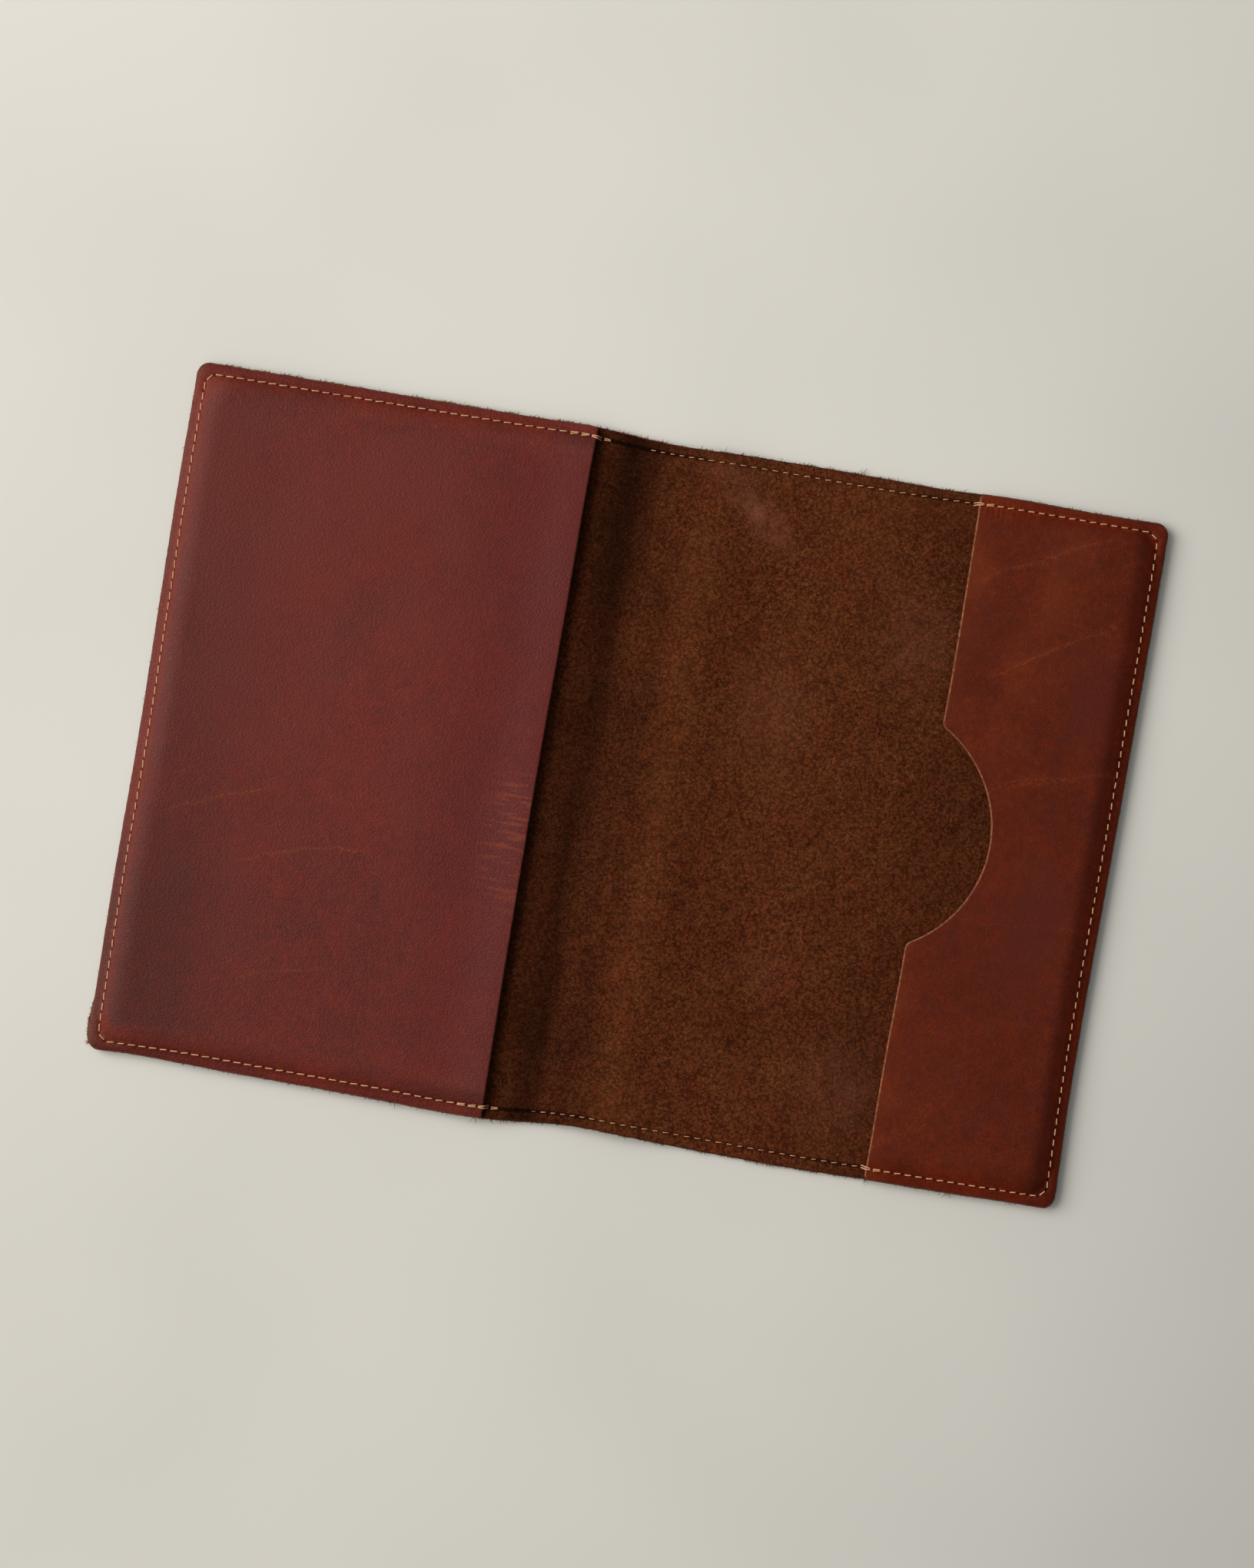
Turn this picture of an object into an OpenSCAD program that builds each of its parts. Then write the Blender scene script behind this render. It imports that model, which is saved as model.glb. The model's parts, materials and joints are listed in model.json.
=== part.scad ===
// Leather passport wallet, lying open with its pockets up.
// Two cover halves fold together about a soft spine, and each carries a pocket sewn on round three sides.
// Origin: centre of the footprint, on the table. +X runs across the open wallet, +Y along its spine, +Z up.

/* [Cover] */
// Length of the wallet along its spine
height = 140; // [130:1:160]
// Width of one cover half, from its crease to its outer edge
half_w = 94.3; // [88:0.1:110]
// Thickness of the cover's leather
cover_t = 1.4; // [1:0.1:2.2]
// Radius of the four outer corners
corner_r = 2.4; // [1.5:0.1:5]

/* [Pockets] */
// Width of the front pocket, from the outer edge to its mouth
front_pocket_w = 81; // [60:1:85]
// Width of the back pocket, from the outer edge to its mouth
back_pocket_w = 38.5; // [34:0.5:60]
// Thickness of the pockets' leather
pocket_t = 1.4; // [1:0.1:2]
// Height of the room inside a pocket, over the cover
pocket_room = 1.6; // [1:0.1:3]
// Width of the flat border that is sewn to the cover
border_w = 3.6; // [3.2:0.1:5]
// Width of the slope from the border up to the raised panel
slope_w = 5; // [3:0.5:7]
// Corner radius of the raised panel
panel_r = 5; // [3:0.5:10]
// Radius of the two corners at a pocket's mouth
mouth_r = 1; // [0.5:0.1:1.5]

/* [Thumb notch] */
// Radius of the notch in the back pocket's mouth
notch_r = 25; // [20:1:30]
// Depth of the notch behind the mouth
notch_depth = 13.4; // [8:0.2:18]
// Rounding where the notch meets the mouth
notch_lip_r = 1.6; // [0.8:0.1:3]

/* [Seam] */
// Distance from the outer edge to the middle of the seam
seam_inset = 2; // [1.8:0.1:2.4]
// Distance from one stitch to the next
stitch_pitch = 2.15; // [1.9:0.05:3]
// Length of a stitch that shows
stitch_len = 1.4; // [1:0.1:1.7]
// Diameter of the thread
thread_d = 0.45; // [0.3:0.05:0.6]
// Depth that the thread is pulled into the grain and the suede on the inside
inner_sink = 0.25; // [0.1:0.05:0.4]
// Depth of the groove on the outside, which hides the whole thread
outer_sink = 0.5; // [0.4:0.05:0.7]
// Side to side clearance of the thread in its groove
groove_room = 0.3; // [0.1:0.05:0.6]
// Length of the slanted stitch at each corner of the seam, along the edges
corner_cut = 1.5; // [1.3:0.1:2]
// Diameter of the doubled thread at each pocket's mouth
tack_d = 0.65; // [0.5:0.05:0.7]
// How far the stitch over a pocket's mouth reaches to each side of it
tack_reach = 1.2; // [1:0.1:1.6]

/* [Fold] */
// Room left for the pages of the booklet between the two pockets when the wallet is shut
closing_room = 4; // [2:0.5:8]

/* [Hidden] */

// What the fold needs to clear both pockets sets the width of the spine.
spine_w = 2 * (pocket_room + pocket_t) + closing_room;
front_mouth = half_w - front_pocket_w; // from the crease
back_mouth = half_w - back_pocket_w;
pocket_top = cover_t + pocket_t; // height of a pocket's sewn border
sheet_margin = 1; // what the die trims from a formed sheet, all round
slope_steps = 6;
arc_steps = 6;
tacks = 2; // doubled stitches on the pocket at each end of its mouth
edge_bend = 0.1; // radius to which a thread bends over the pocket's edge
groove_w = thread_d + groove_room;
stitch_gap = (stitch_pitch - stitch_len) / 2; // from a stitch's end to its needle hole
$fn = 48;

leather_red = [0.36, 0.13, 0.08];
leather_tan = [0.42, 0.16, 0.07];
suede_brown = [0.27, 0.13, 0.07];
thread_cream = [0.85, 0.72, 0.52];

// Each half is drawn with its crease at x = 0 and its outer edge at x = half_w.
module on_back() {
    translate([spine_w / 2, 0, 0]) children();
}

module on_front() {
    mirror([1, 0, 0]) on_back() children();
}

// ---- Leather patterns, flat ----

// Outline of a piece that runs from x = from to the outer edge, with rounded corners at both ends.
module panel_outline(from, inner_r) {
    translate([from + inner_r, -height / 2])
        square([half_w - from - inner_r - corner_r, height]);
    translate([from, inner_r - height / 2])
        square([inner_r + 1, height - 2 * inner_r]);
    translate([half_w - corner_r - 1, corner_r - height / 2])
        square([corner_r + 1, height - 2 * corner_r]);
    for (side = [-1, 1]) {
        translate([half_w - corner_r, side * (height / 2 - corner_r)])
            circle(corner_r);
        if (inner_r > 0)
            translate([from + inner_r, side * (height / 2 - inner_r)])
                circle(inner_r);
    }
}

// Thumb notch: an arc cut behind the mouth, with its two sharp tips rounded off.
module notch_outline() {
    centre_x = back_mouth + notch_depth - notch_r;
    lip_x = back_mouth + notch_lip_r;
    lip_y = sqrt(pow(notch_r + notch_lip_r, 2) - pow(lip_x - centre_x, 2));
    tip_y = sqrt(pow(notch_r, 2) - pow(back_mouth - centre_x, 2));
    touch = notch_r / (notch_r + notch_lip_r);
    translate([centre_x, 0])
        circle(notch_r, $fn = 96);
    for (side = [-1, 1]) scale([1, side])
        difference() {
            polygon([
                [back_mouth - 0.5, lip_y], [lip_x, lip_y],
                [centre_x + (lip_x - centre_x) * touch, lip_y * touch],
                [back_mouth - 0.5, tip_y - 0.5]
            ]);
            translate([lip_x, lip_y]) circle(notch_lip_r);
        }
}

// ---- Formed pocket sheet ----

function smooth(s) = s * s * (3 - 2 * s);

// One ring of the sheet: from the mouth along the top, round the two outer corners and back along the bottom.
// At step -1 the ring is the sheet's square outer edge, and from 0 up it climbs the slope.
function ring(mouth, step, z) =
    let (
        inset = border_w + slope_w * max(step, 0) / slope_steps,
        r = panel_r + slope_w + border_w - inset,
        cx = half_w - border_w - slope_w - panel_r,
        cy = height / 2 - border_w - slope_w - panel_r,
        far_x = half_w + sheet_margin,
        far_y = height / 2 + sheet_margin,
        reach = function (a) step >= 0 ? r
            : min((far_x - cx) / max(cos(a), 0.001), (far_y - cy) / max(sin(a), 0.001)),
        edge = step >= 0 ? height / 2 - inset : far_y,
        arc = [for (i = [0:arc_steps]) let (a = 90 - 90 * i / arc_steps)
            [cx + reach(a) * cos(a), cy + reach(a) * sin(a), z]],
        back = [for (i = [arc_steps:-1:0]) [arc[i].x, -arc[i].y, z]]
    )
    concat([[mouth - sheet_margin, edge, z]], arc, back, [[mouth - sheet_margin, -edge, z]]);

module formed_sheet(mouth) {
    n = 2 * arc_steps + 4;
    rings = slope_steps + 2;
    over = rings * n; // the upper skin's points follow the lower skin's
    last = (rings - 1) * n;
    rise = function (step) pocket_room * smooth(max(step, 0) / slope_steps);
    skins = [for (z = [cover_t, pocket_top], step = [-1:slope_steps]) each ring(mouth, step, z + rise(step))];
    slope = [for (k = [0:rings - 2], i = [0:n - 2]) let (a = k * n + i) [a, a + n, a + n + 1, a + 1]];
    mouth_end = concat([for (k = [0:rings - 1]) k * n], [for (k = [rings - 1:-1:0]) k * n + n - 1]);
    outer_end = [for (i = [n - 1:-1:0]) i];
    walls = [for (end = [mouth_end, outer_end], i = [0:len(end) - 2])
        [end[i], end[i] + over, end[i + 1] + over, end[i + 1]]];
    polyhedron(
        points = skins,
        faces = concat(
            slope,
            [[for (i = [n - 1:-1:0]) last + i]],
            [for (face = slope) [for (i = [3:-1:0]) face[i] + over]],
            [[for (i = [0:n - 1]) over + last + i]],
            walls
        ),
        convexity = 4
    );
}

// ---- Seam ----

// The seam's line on one half, from one end of the pocket's mouth or the crease round to the other.
function seam_line(from) =
    let (x = half_w - seam_inset, y = height / 2 - seam_inset)
    [[from, y], [x - corner_cut, y], [x, y - corner_cut],
     [x, corner_cut - y], [x - corner_cut, -y], [from, -y]];

// A straight run of the seam over bare suede, along the top edge (side 1) or the bottom edge (side -1).
function edge_run(side, from, to) = [for (x = [from, to]) [x, side * (height / 2 - seam_inset)]];

module groove(line, depth) {
    linear_extrude(depth) {
        for (i = [0:len(line) - 2]) {
            run = line[i + 1] - line[i];
            translate(line[i]) rotate(atan2(run.y, run.x))
                translate([0, -groove_w / 2]) square([norm(run), groove_w]);
        }
        for (i = [1:1:len(line) - 2]) translate(line[i]) circle(groove_w / 2);
    }
}

// A stitch lies along +X, with its ends drawn in towards its two needle holes.
module stitch(length, d) {
    r = d / 2;
    rotate([0, 90, 0]) rotate_extrude($fn = 16) polygon([
        [0, -length / 2], [0.5 * r, -length / 2], [r, r - length / 2],
        [r, length / 2 - r], [0.5 * r, length / 2], [0, length / 2]
    ]);
}

// Places [x, y, angle] of the stitches on a line, as near to the nominal pitch as whole stitches allow.
function stitch_spots(line) = [
    for (i = [0:len(line) - 2]) let (run = line[i + 1] - line[i], count = round(norm(run) / stitch_pitch))
        for (k = [0:count - 1]) concat(line[i] + run * (k + 0.5) / count, atan2(run.y, run.x))
];

module stitches(spots, z, d) {
    for (spot = spots) translate([spot.x, spot.y, z]) rotate(spot[2]) stitch(stitch_len, d);
}

// Height of the middle of a thread of diameter d, pulled into the surface at z.
function lying(z, d) = z - inner_sink + d / 2;

// The pocket's own stitches, and those on the bare suede that run up to its mouth.
function pocket_spots(mouth) = stitch_spots(seam_line(mouth + tack_reach));
function suede_spots(side, mouth) = stitch_spots(edge_run(side, 0, mouth - tack_reach));

module inner_thread(mouth) {
    sewn = pocket_spots(mouth);
    stitches([for (i = [tacks:len(sewn) - 1 - tacks]) sewn[i]], lying(pocket_top, thread_d), thread_d);
    for (side = [1, -1]) {
        bare = suede_spots(side, mouth);
        stitches([for (i = [0:len(bare) - 2]) bare[i]], lying(cover_t, thread_d), thread_d);
    }
}

module outer_thread() {
    stitches(stitch_spots(seam_line(0)), outer_sink - thread_d / 2, thread_d);
}

// Doubled thread that comes up through the pocket, bends over its raw edge and slants down to the suede.
module stitch_over_edge() {
    r = tack_d / 2;
    bend_r = edge_bend + r;
    reach = tack_reach - stitch_gap - r;
    bend_z = lying(pocket_top, tack_d) - bend_r;
    drop = bend_z - lying(cover_t, tack_d);
    away = norm([reach, drop]);
    slant = atan2(drop, reach) + asin(bend_r / away);
    translate([0, 0, bend_z + bend_r]) rotate([0, 90, 0]) cylinder(h = reach, r = r);
    translate([reach, 0, bend_z + bend_r]) sphere(r);
    translate([0, 0, bend_z]) {
        rotate([90, 0, 0]) rotate([0, 0, 90]) rotate_extrude(angle = slant) translate([bend_r, 0]) circle(r);
        rotate([0, -slant, 0]) translate([0, 0, bend_r]) rotate([0, -90, 0])
            cylinder(h = sqrt(away * away - bend_r * bend_r), r = r);
        translate([-reach, 0, -drop]) sphere(r);
    }
}

module mouth_tacks(mouth) {
    sewn = pocket_spots(mouth);
    ends = [for (i = [0:tacks - 1]) each [sewn[i], sewn[len(sewn) - 1 - i]]];
    stitches(ends, lying(pocket_top, tack_d), tack_d);
    for (side = [1, -1]) {
        bare = suede_spots(side, mouth);
        stitches([bare[len(bare) - 1]], lying(cover_t, tack_d), tack_d);
        translate([mouth, side * (height / 2 - seam_inset), 0]) stitch_over_edge();
    }
}

// ---- Parts of one half ----

module cover_half(mouth) {
    difference() {
        linear_extrude(cover_t) panel_outline(0, 0);
        translate([0, 0, -1]) groove(seam_line(-1), outer_sink + 1);
        for (side = [1, -1])
            translate([0, 0, cover_t - inner_sink]) groove(edge_run(side, -1, mouth), inner_sink + 1);
    }
}

module pocket(mouth, notched) {
    difference() {
        intersection() {
            formed_sheet(mouth);
            linear_extrude(2 * (pocket_top + pocket_room)) difference() {
                panel_outline(mouth, mouth_r);
                if (notched) notch_outline();
            }
        }
        translate([0, 0, pocket_top - inner_sink]) groove(seam_line(mouth - 1), inner_sink + 1);
    }
}

// ---- The spine between the halves ----

module spine_strip() {
    difference() {
        translate([-spine_w / 2, -height / 2, 0]) cube([spine_w, height, cover_t]);
        for (side = [1, -1]) {
            run = edge_run(side, -spine_w / 2 - 1, spine_w / 2 + 1);
            translate([0, 0, -1]) groove(run, outer_sink + 1);
            translate([0, 0, cover_t - inner_sink]) groove(run, inner_sink + 1);
        }
    }
}

module spine_thread(z) {
    for (side = [1, -1]) stitches(stitch_spots(edge_run(side, -spine_w / 2, spine_w / 2)), z, thread_d);
}

// ---- Nodes ----

module front_cover() { color(suede_brown) on_front() cover_half(front_mouth); }
module spine() { color(suede_brown) spine_strip(); }
module back_cover() { color(suede_brown) on_back() cover_half(back_mouth); }
module front_pocket() { color(leather_red) on_front() pocket(front_mouth, false); }
module back_pocket() { color(leather_tan) on_back() pocket(back_mouth, true); }
module front_inner_thread() { color(thread_cream) on_front() inner_thread(front_mouth); }
module spine_inner_thread() { color(thread_cream) spine_thread(lying(cover_t, thread_d)); }
module back_inner_thread() { color(thread_cream) on_back() inner_thread(back_mouth); }
module front_outer_thread() { color(thread_cream) on_front() outer_thread(); }
module spine_outer_thread() { color(thread_cream) spine_thread(outer_sink - thread_d / 2); }
module back_outer_thread() { color(thread_cream) on_back() outer_thread(); }
module front_mouth_tacks() { color(thread_cream) on_front() mouth_tacks(front_mouth); }
module back_mouth_tacks() { color(thread_cream) on_back() mouth_tacks(back_mouth); }

front_cover();
spine();
back_cover();
front_pocket();
back_pocket();
front_inner_thread();
spine_inner_thread();
back_inner_thread();
front_outer_thread();
spine_outer_thread();
back_outer_thread();
front_mouth_tacks();
back_mouth_tacks();
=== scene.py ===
"""The looks of a leather passport wallet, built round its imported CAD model.

Every piece is drawn on the flat pattern in millimetres, in the row frame, and is then
settled: the same small waves of the used leather carry all of them.
"""

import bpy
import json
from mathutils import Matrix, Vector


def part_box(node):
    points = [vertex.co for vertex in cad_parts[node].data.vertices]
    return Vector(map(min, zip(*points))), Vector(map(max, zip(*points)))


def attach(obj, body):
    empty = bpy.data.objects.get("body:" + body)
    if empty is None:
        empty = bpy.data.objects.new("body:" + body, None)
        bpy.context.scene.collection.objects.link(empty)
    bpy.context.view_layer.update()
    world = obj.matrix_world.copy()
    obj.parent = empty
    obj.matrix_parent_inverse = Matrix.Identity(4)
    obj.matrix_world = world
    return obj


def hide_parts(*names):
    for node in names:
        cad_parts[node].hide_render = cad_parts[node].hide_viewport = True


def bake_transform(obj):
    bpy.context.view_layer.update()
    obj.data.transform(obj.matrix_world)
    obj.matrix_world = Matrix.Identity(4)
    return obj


bl_info = {
    "name": "Leather passport wallet",
    "version": (1, 0, 0),
    "blender": (4, 5, 0),
    "location": "3D View > Sidebar > Wallet",
    "description": "Dresses the packed passport wallet in leather, suede and thread",
    "category": "Object",
}

import json
import math

import bpy
import numpy as np
from mathutils import Vector
from mathutils.bvhtree import BVHTree

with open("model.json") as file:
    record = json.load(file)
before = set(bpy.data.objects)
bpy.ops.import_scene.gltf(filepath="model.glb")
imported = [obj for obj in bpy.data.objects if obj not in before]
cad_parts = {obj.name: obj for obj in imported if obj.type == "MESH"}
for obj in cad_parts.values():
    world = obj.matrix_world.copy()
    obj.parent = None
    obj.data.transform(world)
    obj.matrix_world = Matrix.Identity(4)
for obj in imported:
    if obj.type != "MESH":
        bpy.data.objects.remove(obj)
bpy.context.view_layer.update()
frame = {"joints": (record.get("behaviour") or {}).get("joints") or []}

MM = 0.001


def cad_box(node):
    """A CAD node's lowest and highest corners, in millimetres."""
    low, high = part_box(node)
    return np.array(low) / MM, np.array(high) / MM


EDGE_Y, COVER_T = cad_box("front_cover")[1][1:].tolist()
FRONT_MOUTH = float(cad_box("front_pocket")[1][0])
BACK_MOUTH, EDGE_X = (float(corner[0]) for corner in cad_box("back_pocket"))  # EDGE_X is the edge of either half
CREASE_X = max(abs(j["pos_m"][0]) for j in frame["joints"]) / MM

# The photograph's frame, scaled to a long side of 1568, and what shows where in it.
PHOTO_W, PHOTO_H = 1254.4, 1568.0
IMAGE_POINTS = {
    "left_x": (86.9, None),
    "right_x": (1169.9, None),
    "top_y": (None, 363.6),
    "bottom_y": (None, 1208.3),
    "corner_top_left": (202.1, 365.9),
    "corner_top_right": (1165.5, 526.0),
    "corner_bottom_left": (91.3, 1046.3),
    "corner_bottom_right": (1052.6, 1204.2),
    "front_mouth_top": (597.2, 426.1),
    "front_mouth_bottom": (481.5, 1117.4),
    "back_mouth_top": (978.7, 494.7),
    "back_mouth_bottom": (865.9, 1178.8),
    "notch_start": (943.7, 728.5),
    "notch_deepest": (988.0, 860.8),
    "notch_end": (905.1, 944.6),
    "seam_left": (197.3, 419.4),
    "seam_right": (1148.9, 593.5),
    "brushed_patch": (760.0, 514.0),
    "vein": (1050.0, 779.0),
    "tuft": (86.2, 1042.6),
}
CAMERA_LENS = 100.0
CAMERA_SENSOR = 36.0
CAMERA_HEIGHT = 0.8829
CAMERA_AIM = (-0.00007, 0.000185)
CAMERA_ROLL = math.radians(9.426)


# ---- Sizes and colours ----


def length(name, description, millimetres):
    """A size that a user may change, kept in metres as Blender does."""
    return bpy.props.FloatProperty(
        name=name, description=description, default=millimetres * MM, min=0.0, unit="LENGTH", precision=5
    )


def colour(name, description, rgb):
    return bpy.props.FloatVectorProperty(
        name=name, description=description, default=rgb, size=3, min=0.0, max=1.0, subtype="COLOR"
    )


class WalletSizes(bpy.types.PropertyGroup):
    """Sizes of the leather and its sewing."""

    corner_r: length("Corner radius", "Radius of the four outer corners", 2.4)
    mouth_r: length("Mouth corner radius", "Radius of the corners at a pocket's mouth", 1.0)
    pocket_t: length("Pocket leather", "Thickness of the pockets' leather", 1.36)
    pocket_room: length("Pocket room", "Height of the room inside a pocket", 1.6)
    notch_r: length("Notch radius", "Radius of the thumb notch", 25.0)
    notch_depth: length("Notch depth", "Depth of the thumb notch behind the mouth", 13.4)
    notch_lip_r: length("Notch lip", "Rounding where the notch meets the mouth", 1.6)
    seam_inset: length("Seam inset", "Distance from the outer edge to the seam", 2.0)
    stitch_pitch: length("Stitch pitch", "Distance from one stitch to the next", 2.15)
    corner_cut: length("Corner stitch", "Length of the slanted stitch at a corner, along the edges", 1.5)
    tack_reach: length("Tack reach", "How far the stitch over a mouth reaches to each side", 1.2)
    thread_r: length("Thread radius", "Radius of the sewing thread", 0.138)
    groove: length("Seam groove", "Depth to which the seam pulls the leather in", 0.11)
    nap: length("Nap relief", "Height of the matted nap of the suede", 0.16)
    spine_bow: length("Spine bow", "Height of the bow over the spine", 2.1)
    mouth_bow: length("Mouth bow", "Height to which the front pocket's mouth stands up", 0.9)


class WalletColours(bpy.types.PropertyGroup):
    """Colours of the leather and its sewing."""

    front_grain: colour("Front grain", "Grain leather of the front pocket", (0.121, 0.0103, 0.0029))
    back_grain: colour("Back grain", "Grain leather of the back pocket", (0.099, 0.0122, 0.0030))
    outer_grain: colour("Outer grain", "Grain leather of the outside", (0.098, 0.0175, 0.008))
    # Pull-up is also the tone of painted highlights, as on the front pocket's left border and beside a dent on the back
    # pocket.
    pull_up: colour("Pull-up", "Lighter tone where the waxed leather is stretched or rubbed", (0.235, 0.044, 0.010))
    suede: colour("Suede", "Flesh side of the cover", (0.0725, 0.0158, 0.0044))
    suede_tip: colour("Suede tips", "Tips of the nap that catch the light", (0.198, 0.0625, 0.019))
    raw_edge: colour("Raw edge", "Cut edge of the leather", (0.3, 0.1, 0.042))
    thread: colour("Thread", "Waxed sewing thread", (0.68, 0.355, 0.185))
    floor: colour("Floor", "Plain floor under the wallet", (0.72, 0.695, 0.635))


def sizes():
    """The sizes in millimetres, by name."""
    group = bpy.context.scene.wallet_sizes
    return {key: getattr(group, key) / MM for key in WalletSizes.__annotations__}


def colours():
    return bpy.context.scene.wallet_colours


# ---- Curves and waves ----


def along(knots):
    """A smooth curve through a few (place, value) knots, level beyond its ends."""
    at, value = (np.array(column, float) for column in zip(*knots))
    slope = np.gradient(value, at)

    def curve(x):
        x = np.asarray(x, float)
        i = np.clip(np.searchsorted(at, x) - 1, 0, len(at) - 2)
        gap = at[i + 1] - at[i]
        t = np.clip((x - at[i]) / gap, 0, 1)
        return (
            value[i] * (1 + 2 * t) * (1 - t) ** 2
            + value[i + 1] * t * t * (3 - 2 * t)
            + gap * (slope[i] * t * (1 - t) ** 2 - slope[i + 1] * t * t * (1 - t))
        )

    return curve


def rise(low, high, value):
    """0 below low and 1 above high, smooth between them."""
    t = np.clip((value - low) / (high - low), 0, 1)
    return t * t * (3 - 2 * t)


def band(low, full, fading, high, value):
    """1 from full to fading, 0 below low and above high, smooth between them."""
    return rise(low, full, value) * (1 - rise(fading, high, value))


def bell(value, width):
    return np.exp(-((value / width) ** 2))


def mottle(x, y, size, seed):
    """Soft random waves of about that size, from -1 to 1."""
    table = np.random.default_rng(seed).uniform(-1, 1, (257, 257))
    u, v = np.asarray(x, float) / size + 71.3, np.asarray(y, float) / size + 43.7
    i, j = np.floor(u).astype(int), np.floor(v).astype(int)
    a, b = rise(0, 1, u - i), rise(0, 1, v - j)
    i, j = i % 256, j % 256
    low = table[i, j] * (1 - a) + table[i + 1, j] * a
    high = table[i, j + 1] * (1 - a) + table[i + 1, j + 1] * a
    return low * (1 - b) + high * b


# How far the worn outline strays outwards from the flat pattern, in millimetres.
STRAY_TOP = along([
    (-96, 0.2), (-60, 0.2), (-30, 0.3), (-20, 0.4), (-14, 0.05), (-6, -0.4), (2, -0.6), (15, -0.45), (48, -0.5),
    (64, -0.25), (96, -0.35),
])
STRAY_BOTTOM = along([
    (-99, 0.5), (-92, 0.25), (-82, 0.05), (-64, 0.3), (-40, 0.65), (-24, 1.05), (-18, 0.95), (-12, 0.6), (-5, 0),
    (2, -0.3), (10, -0.1), (24, 0.2), (48, 0.55), (64, 0.5), (96, 0.4),
])
STRAY_LEFT = along([
    (-70, -0.3), (-66, -0.1), (-55, 0.0), (-33, 0.1), (-11, -0.1), (22, 0.1), (44, 0.3), (66, 0.15),
])
STRAY_RIGHT = along([(-66, -0.3), (-50, -0.65), (-30, -0.65), (0, -0.2), (30, 0.15), (60, 0.4)])
STRAY_FRONT_MOUTH = along([(-70, 0.3), (-40, 0.15), (0, 0.15), (35, 0.5), (55, 0.6), (68, 0.8)])
STRAY_BACK_MOUTH = along([(-66, -0.6), (-45, -0.5), (-30, -0.2), (0, -0.1), (16, -0.15), (26, 0.15), (66, 0.15)])
# How much further the leather outside the seam strays along the long edges.
MARGIN_TOP = along([
    (-96, 0.24), (-68, 0.25), (-48, 0.15), (-26, 0.05), (-10, 0.1), (0, -0.05), (14, 0.12), (30, 0.28), (42, 0.2),
    (55, -0.05), (65, 0.2), (85, 0), (97, 0.15),
])
MARGIN_BOTTOM = along([
    (-99, 0), (-92, -0.1), (-80, 0.3), (-60, 0.37), (-20, 0.38), (-8, 0.27), (8, 0.2), (22, 0.5), (45, 0.55),
    (60, 0.4), (78, 0.42), (90, 0.25), (99, 0.3),
])


RIDGE_X, RIDGE_REACH = 7, 10.5  # the bow over the spine: its middle and its reach
MOUTH_BOW_X, MOUTH_BOW_REACH = -17.5, 6.5


def bow(x, y):
    """Height of the leather over the table where the fold keeps it from lying flat."""
    size = sizes()
    painted_ridge_highlight = size["spine_bow"] * bell(x - RIDGE_X, RIDGE_REACH)
    mouth = size["mouth_bow"] * bell(x - MOUTH_BOW_X, MOUTH_BOW_REACH)
    wave = 1 + 0.16 * mottle(y, x * 0.2, 34, 5)
    return (painted_ridge_highlight + mouth) * wave


def settle(points):
    """Carries points from the flat pattern to where the worn leather lies."""
    x, y, z = points[..., 0], points[..., 1], points[..., 2]
    across, margin = rise(0, EDGE_Y, np.abs(y)), rise(EDGE_Y - 1.8, EDGE_Y, np.abs(y))
    up = STRAY_TOP(x) * across + MARGIN_TOP(x) * margin
    down = STRAY_BOTTOM(x) * across + MARGIN_BOTTOM(x) * margin
    dy = np.where(y > 0, up, -down)
    dx = STRAY_RIGHT(y) * rise(80, EDGE_X, x) - STRAY_LEFT(y) * rise(60, EDGE_X, -x)
    dx = dx - 0.55 * bell(y + 65, 5) * rise(96.5, EDGE_X, -x) * (1 - rise(1.25, 1.6, z))
    dx = dx + STRAY_FRONT_MOUTH(y) * bell(x - FRONT_MOUTH, 11) + STRAY_BACK_MOUTH(y) * bell(x - BACK_MOUTH - 4, 12)
    return np.stack([x + dx, y + dy, z + bow(x, y)], -1)


# ---- The seam on the flat pattern ----


def seam_runs(side, start, end=None):
    """Straight runs of the seam on one half: ((x, y), (x, y), number of stitches).
    With an end, only the two runs over bare suede, from start to end."""
    size = sizes()
    x, y, cut = EDGE_X - size["seam_inset"], EDGE_Y - size["seam_inset"], size["corner_cut"]
    if end is None:
        corners = [(start, y), (x - cut, y), (x, y - cut), (x, cut - y), (x - cut, -y), (start, -y)]
        pairs = list(zip(corners, corners[1:]))
    else:
        pairs = [((start, y), (end, y)), ((start, -y), (end, -y))]
    runs = []
    for a, b in pairs:
        count = max(1, round(math.dist(a, b) / size["stitch_pitch"]))
        runs.append(((side * a[0], a[1]), (side * b[0], b[1]), count))
    return runs


def spine_runs():
    """The seam over the spine, from crease to crease."""
    size = sizes()
    y = EDGE_Y - size["seam_inset"]
    count = round(2 * CREASE_X / size["stitch_pitch"])
    return [((-CREASE_X, s * y), (CREASE_X, s * y), count) for s in (1, -1)]


def mouth_of(side):
    """Distance of a pocket's mouth from the middle of the spine."""
    return abs(FRONT_MOUTH if side < 0 else BACK_MOUTH)


def runs_on_pocket(side):
    """The seam round a pocket, between the stitches that cross its mouth."""
    return seam_runs(side, mouth_of(side) + sizes()["tack_reach"])


def runs_on_suede(side):
    """The seam from a crease to the stitch that crosses the pocket's mouth."""
    return seam_runs(side, CREASE_X, mouth_of(side) - sizes()["tack_reach"])


def runs_over_suede():
    """The seam over all of the bare suede, from pocket to pocket."""
    return runs_on_suede(-1) + spine_runs() + runs_on_suede(1)


def runs_outside(side):
    """The second thread's seam, from a crease round the outside of one half."""
    return seam_runs(side, CREASE_X)


FAR = 9.0  # distance given to points that no seam is near


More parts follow.
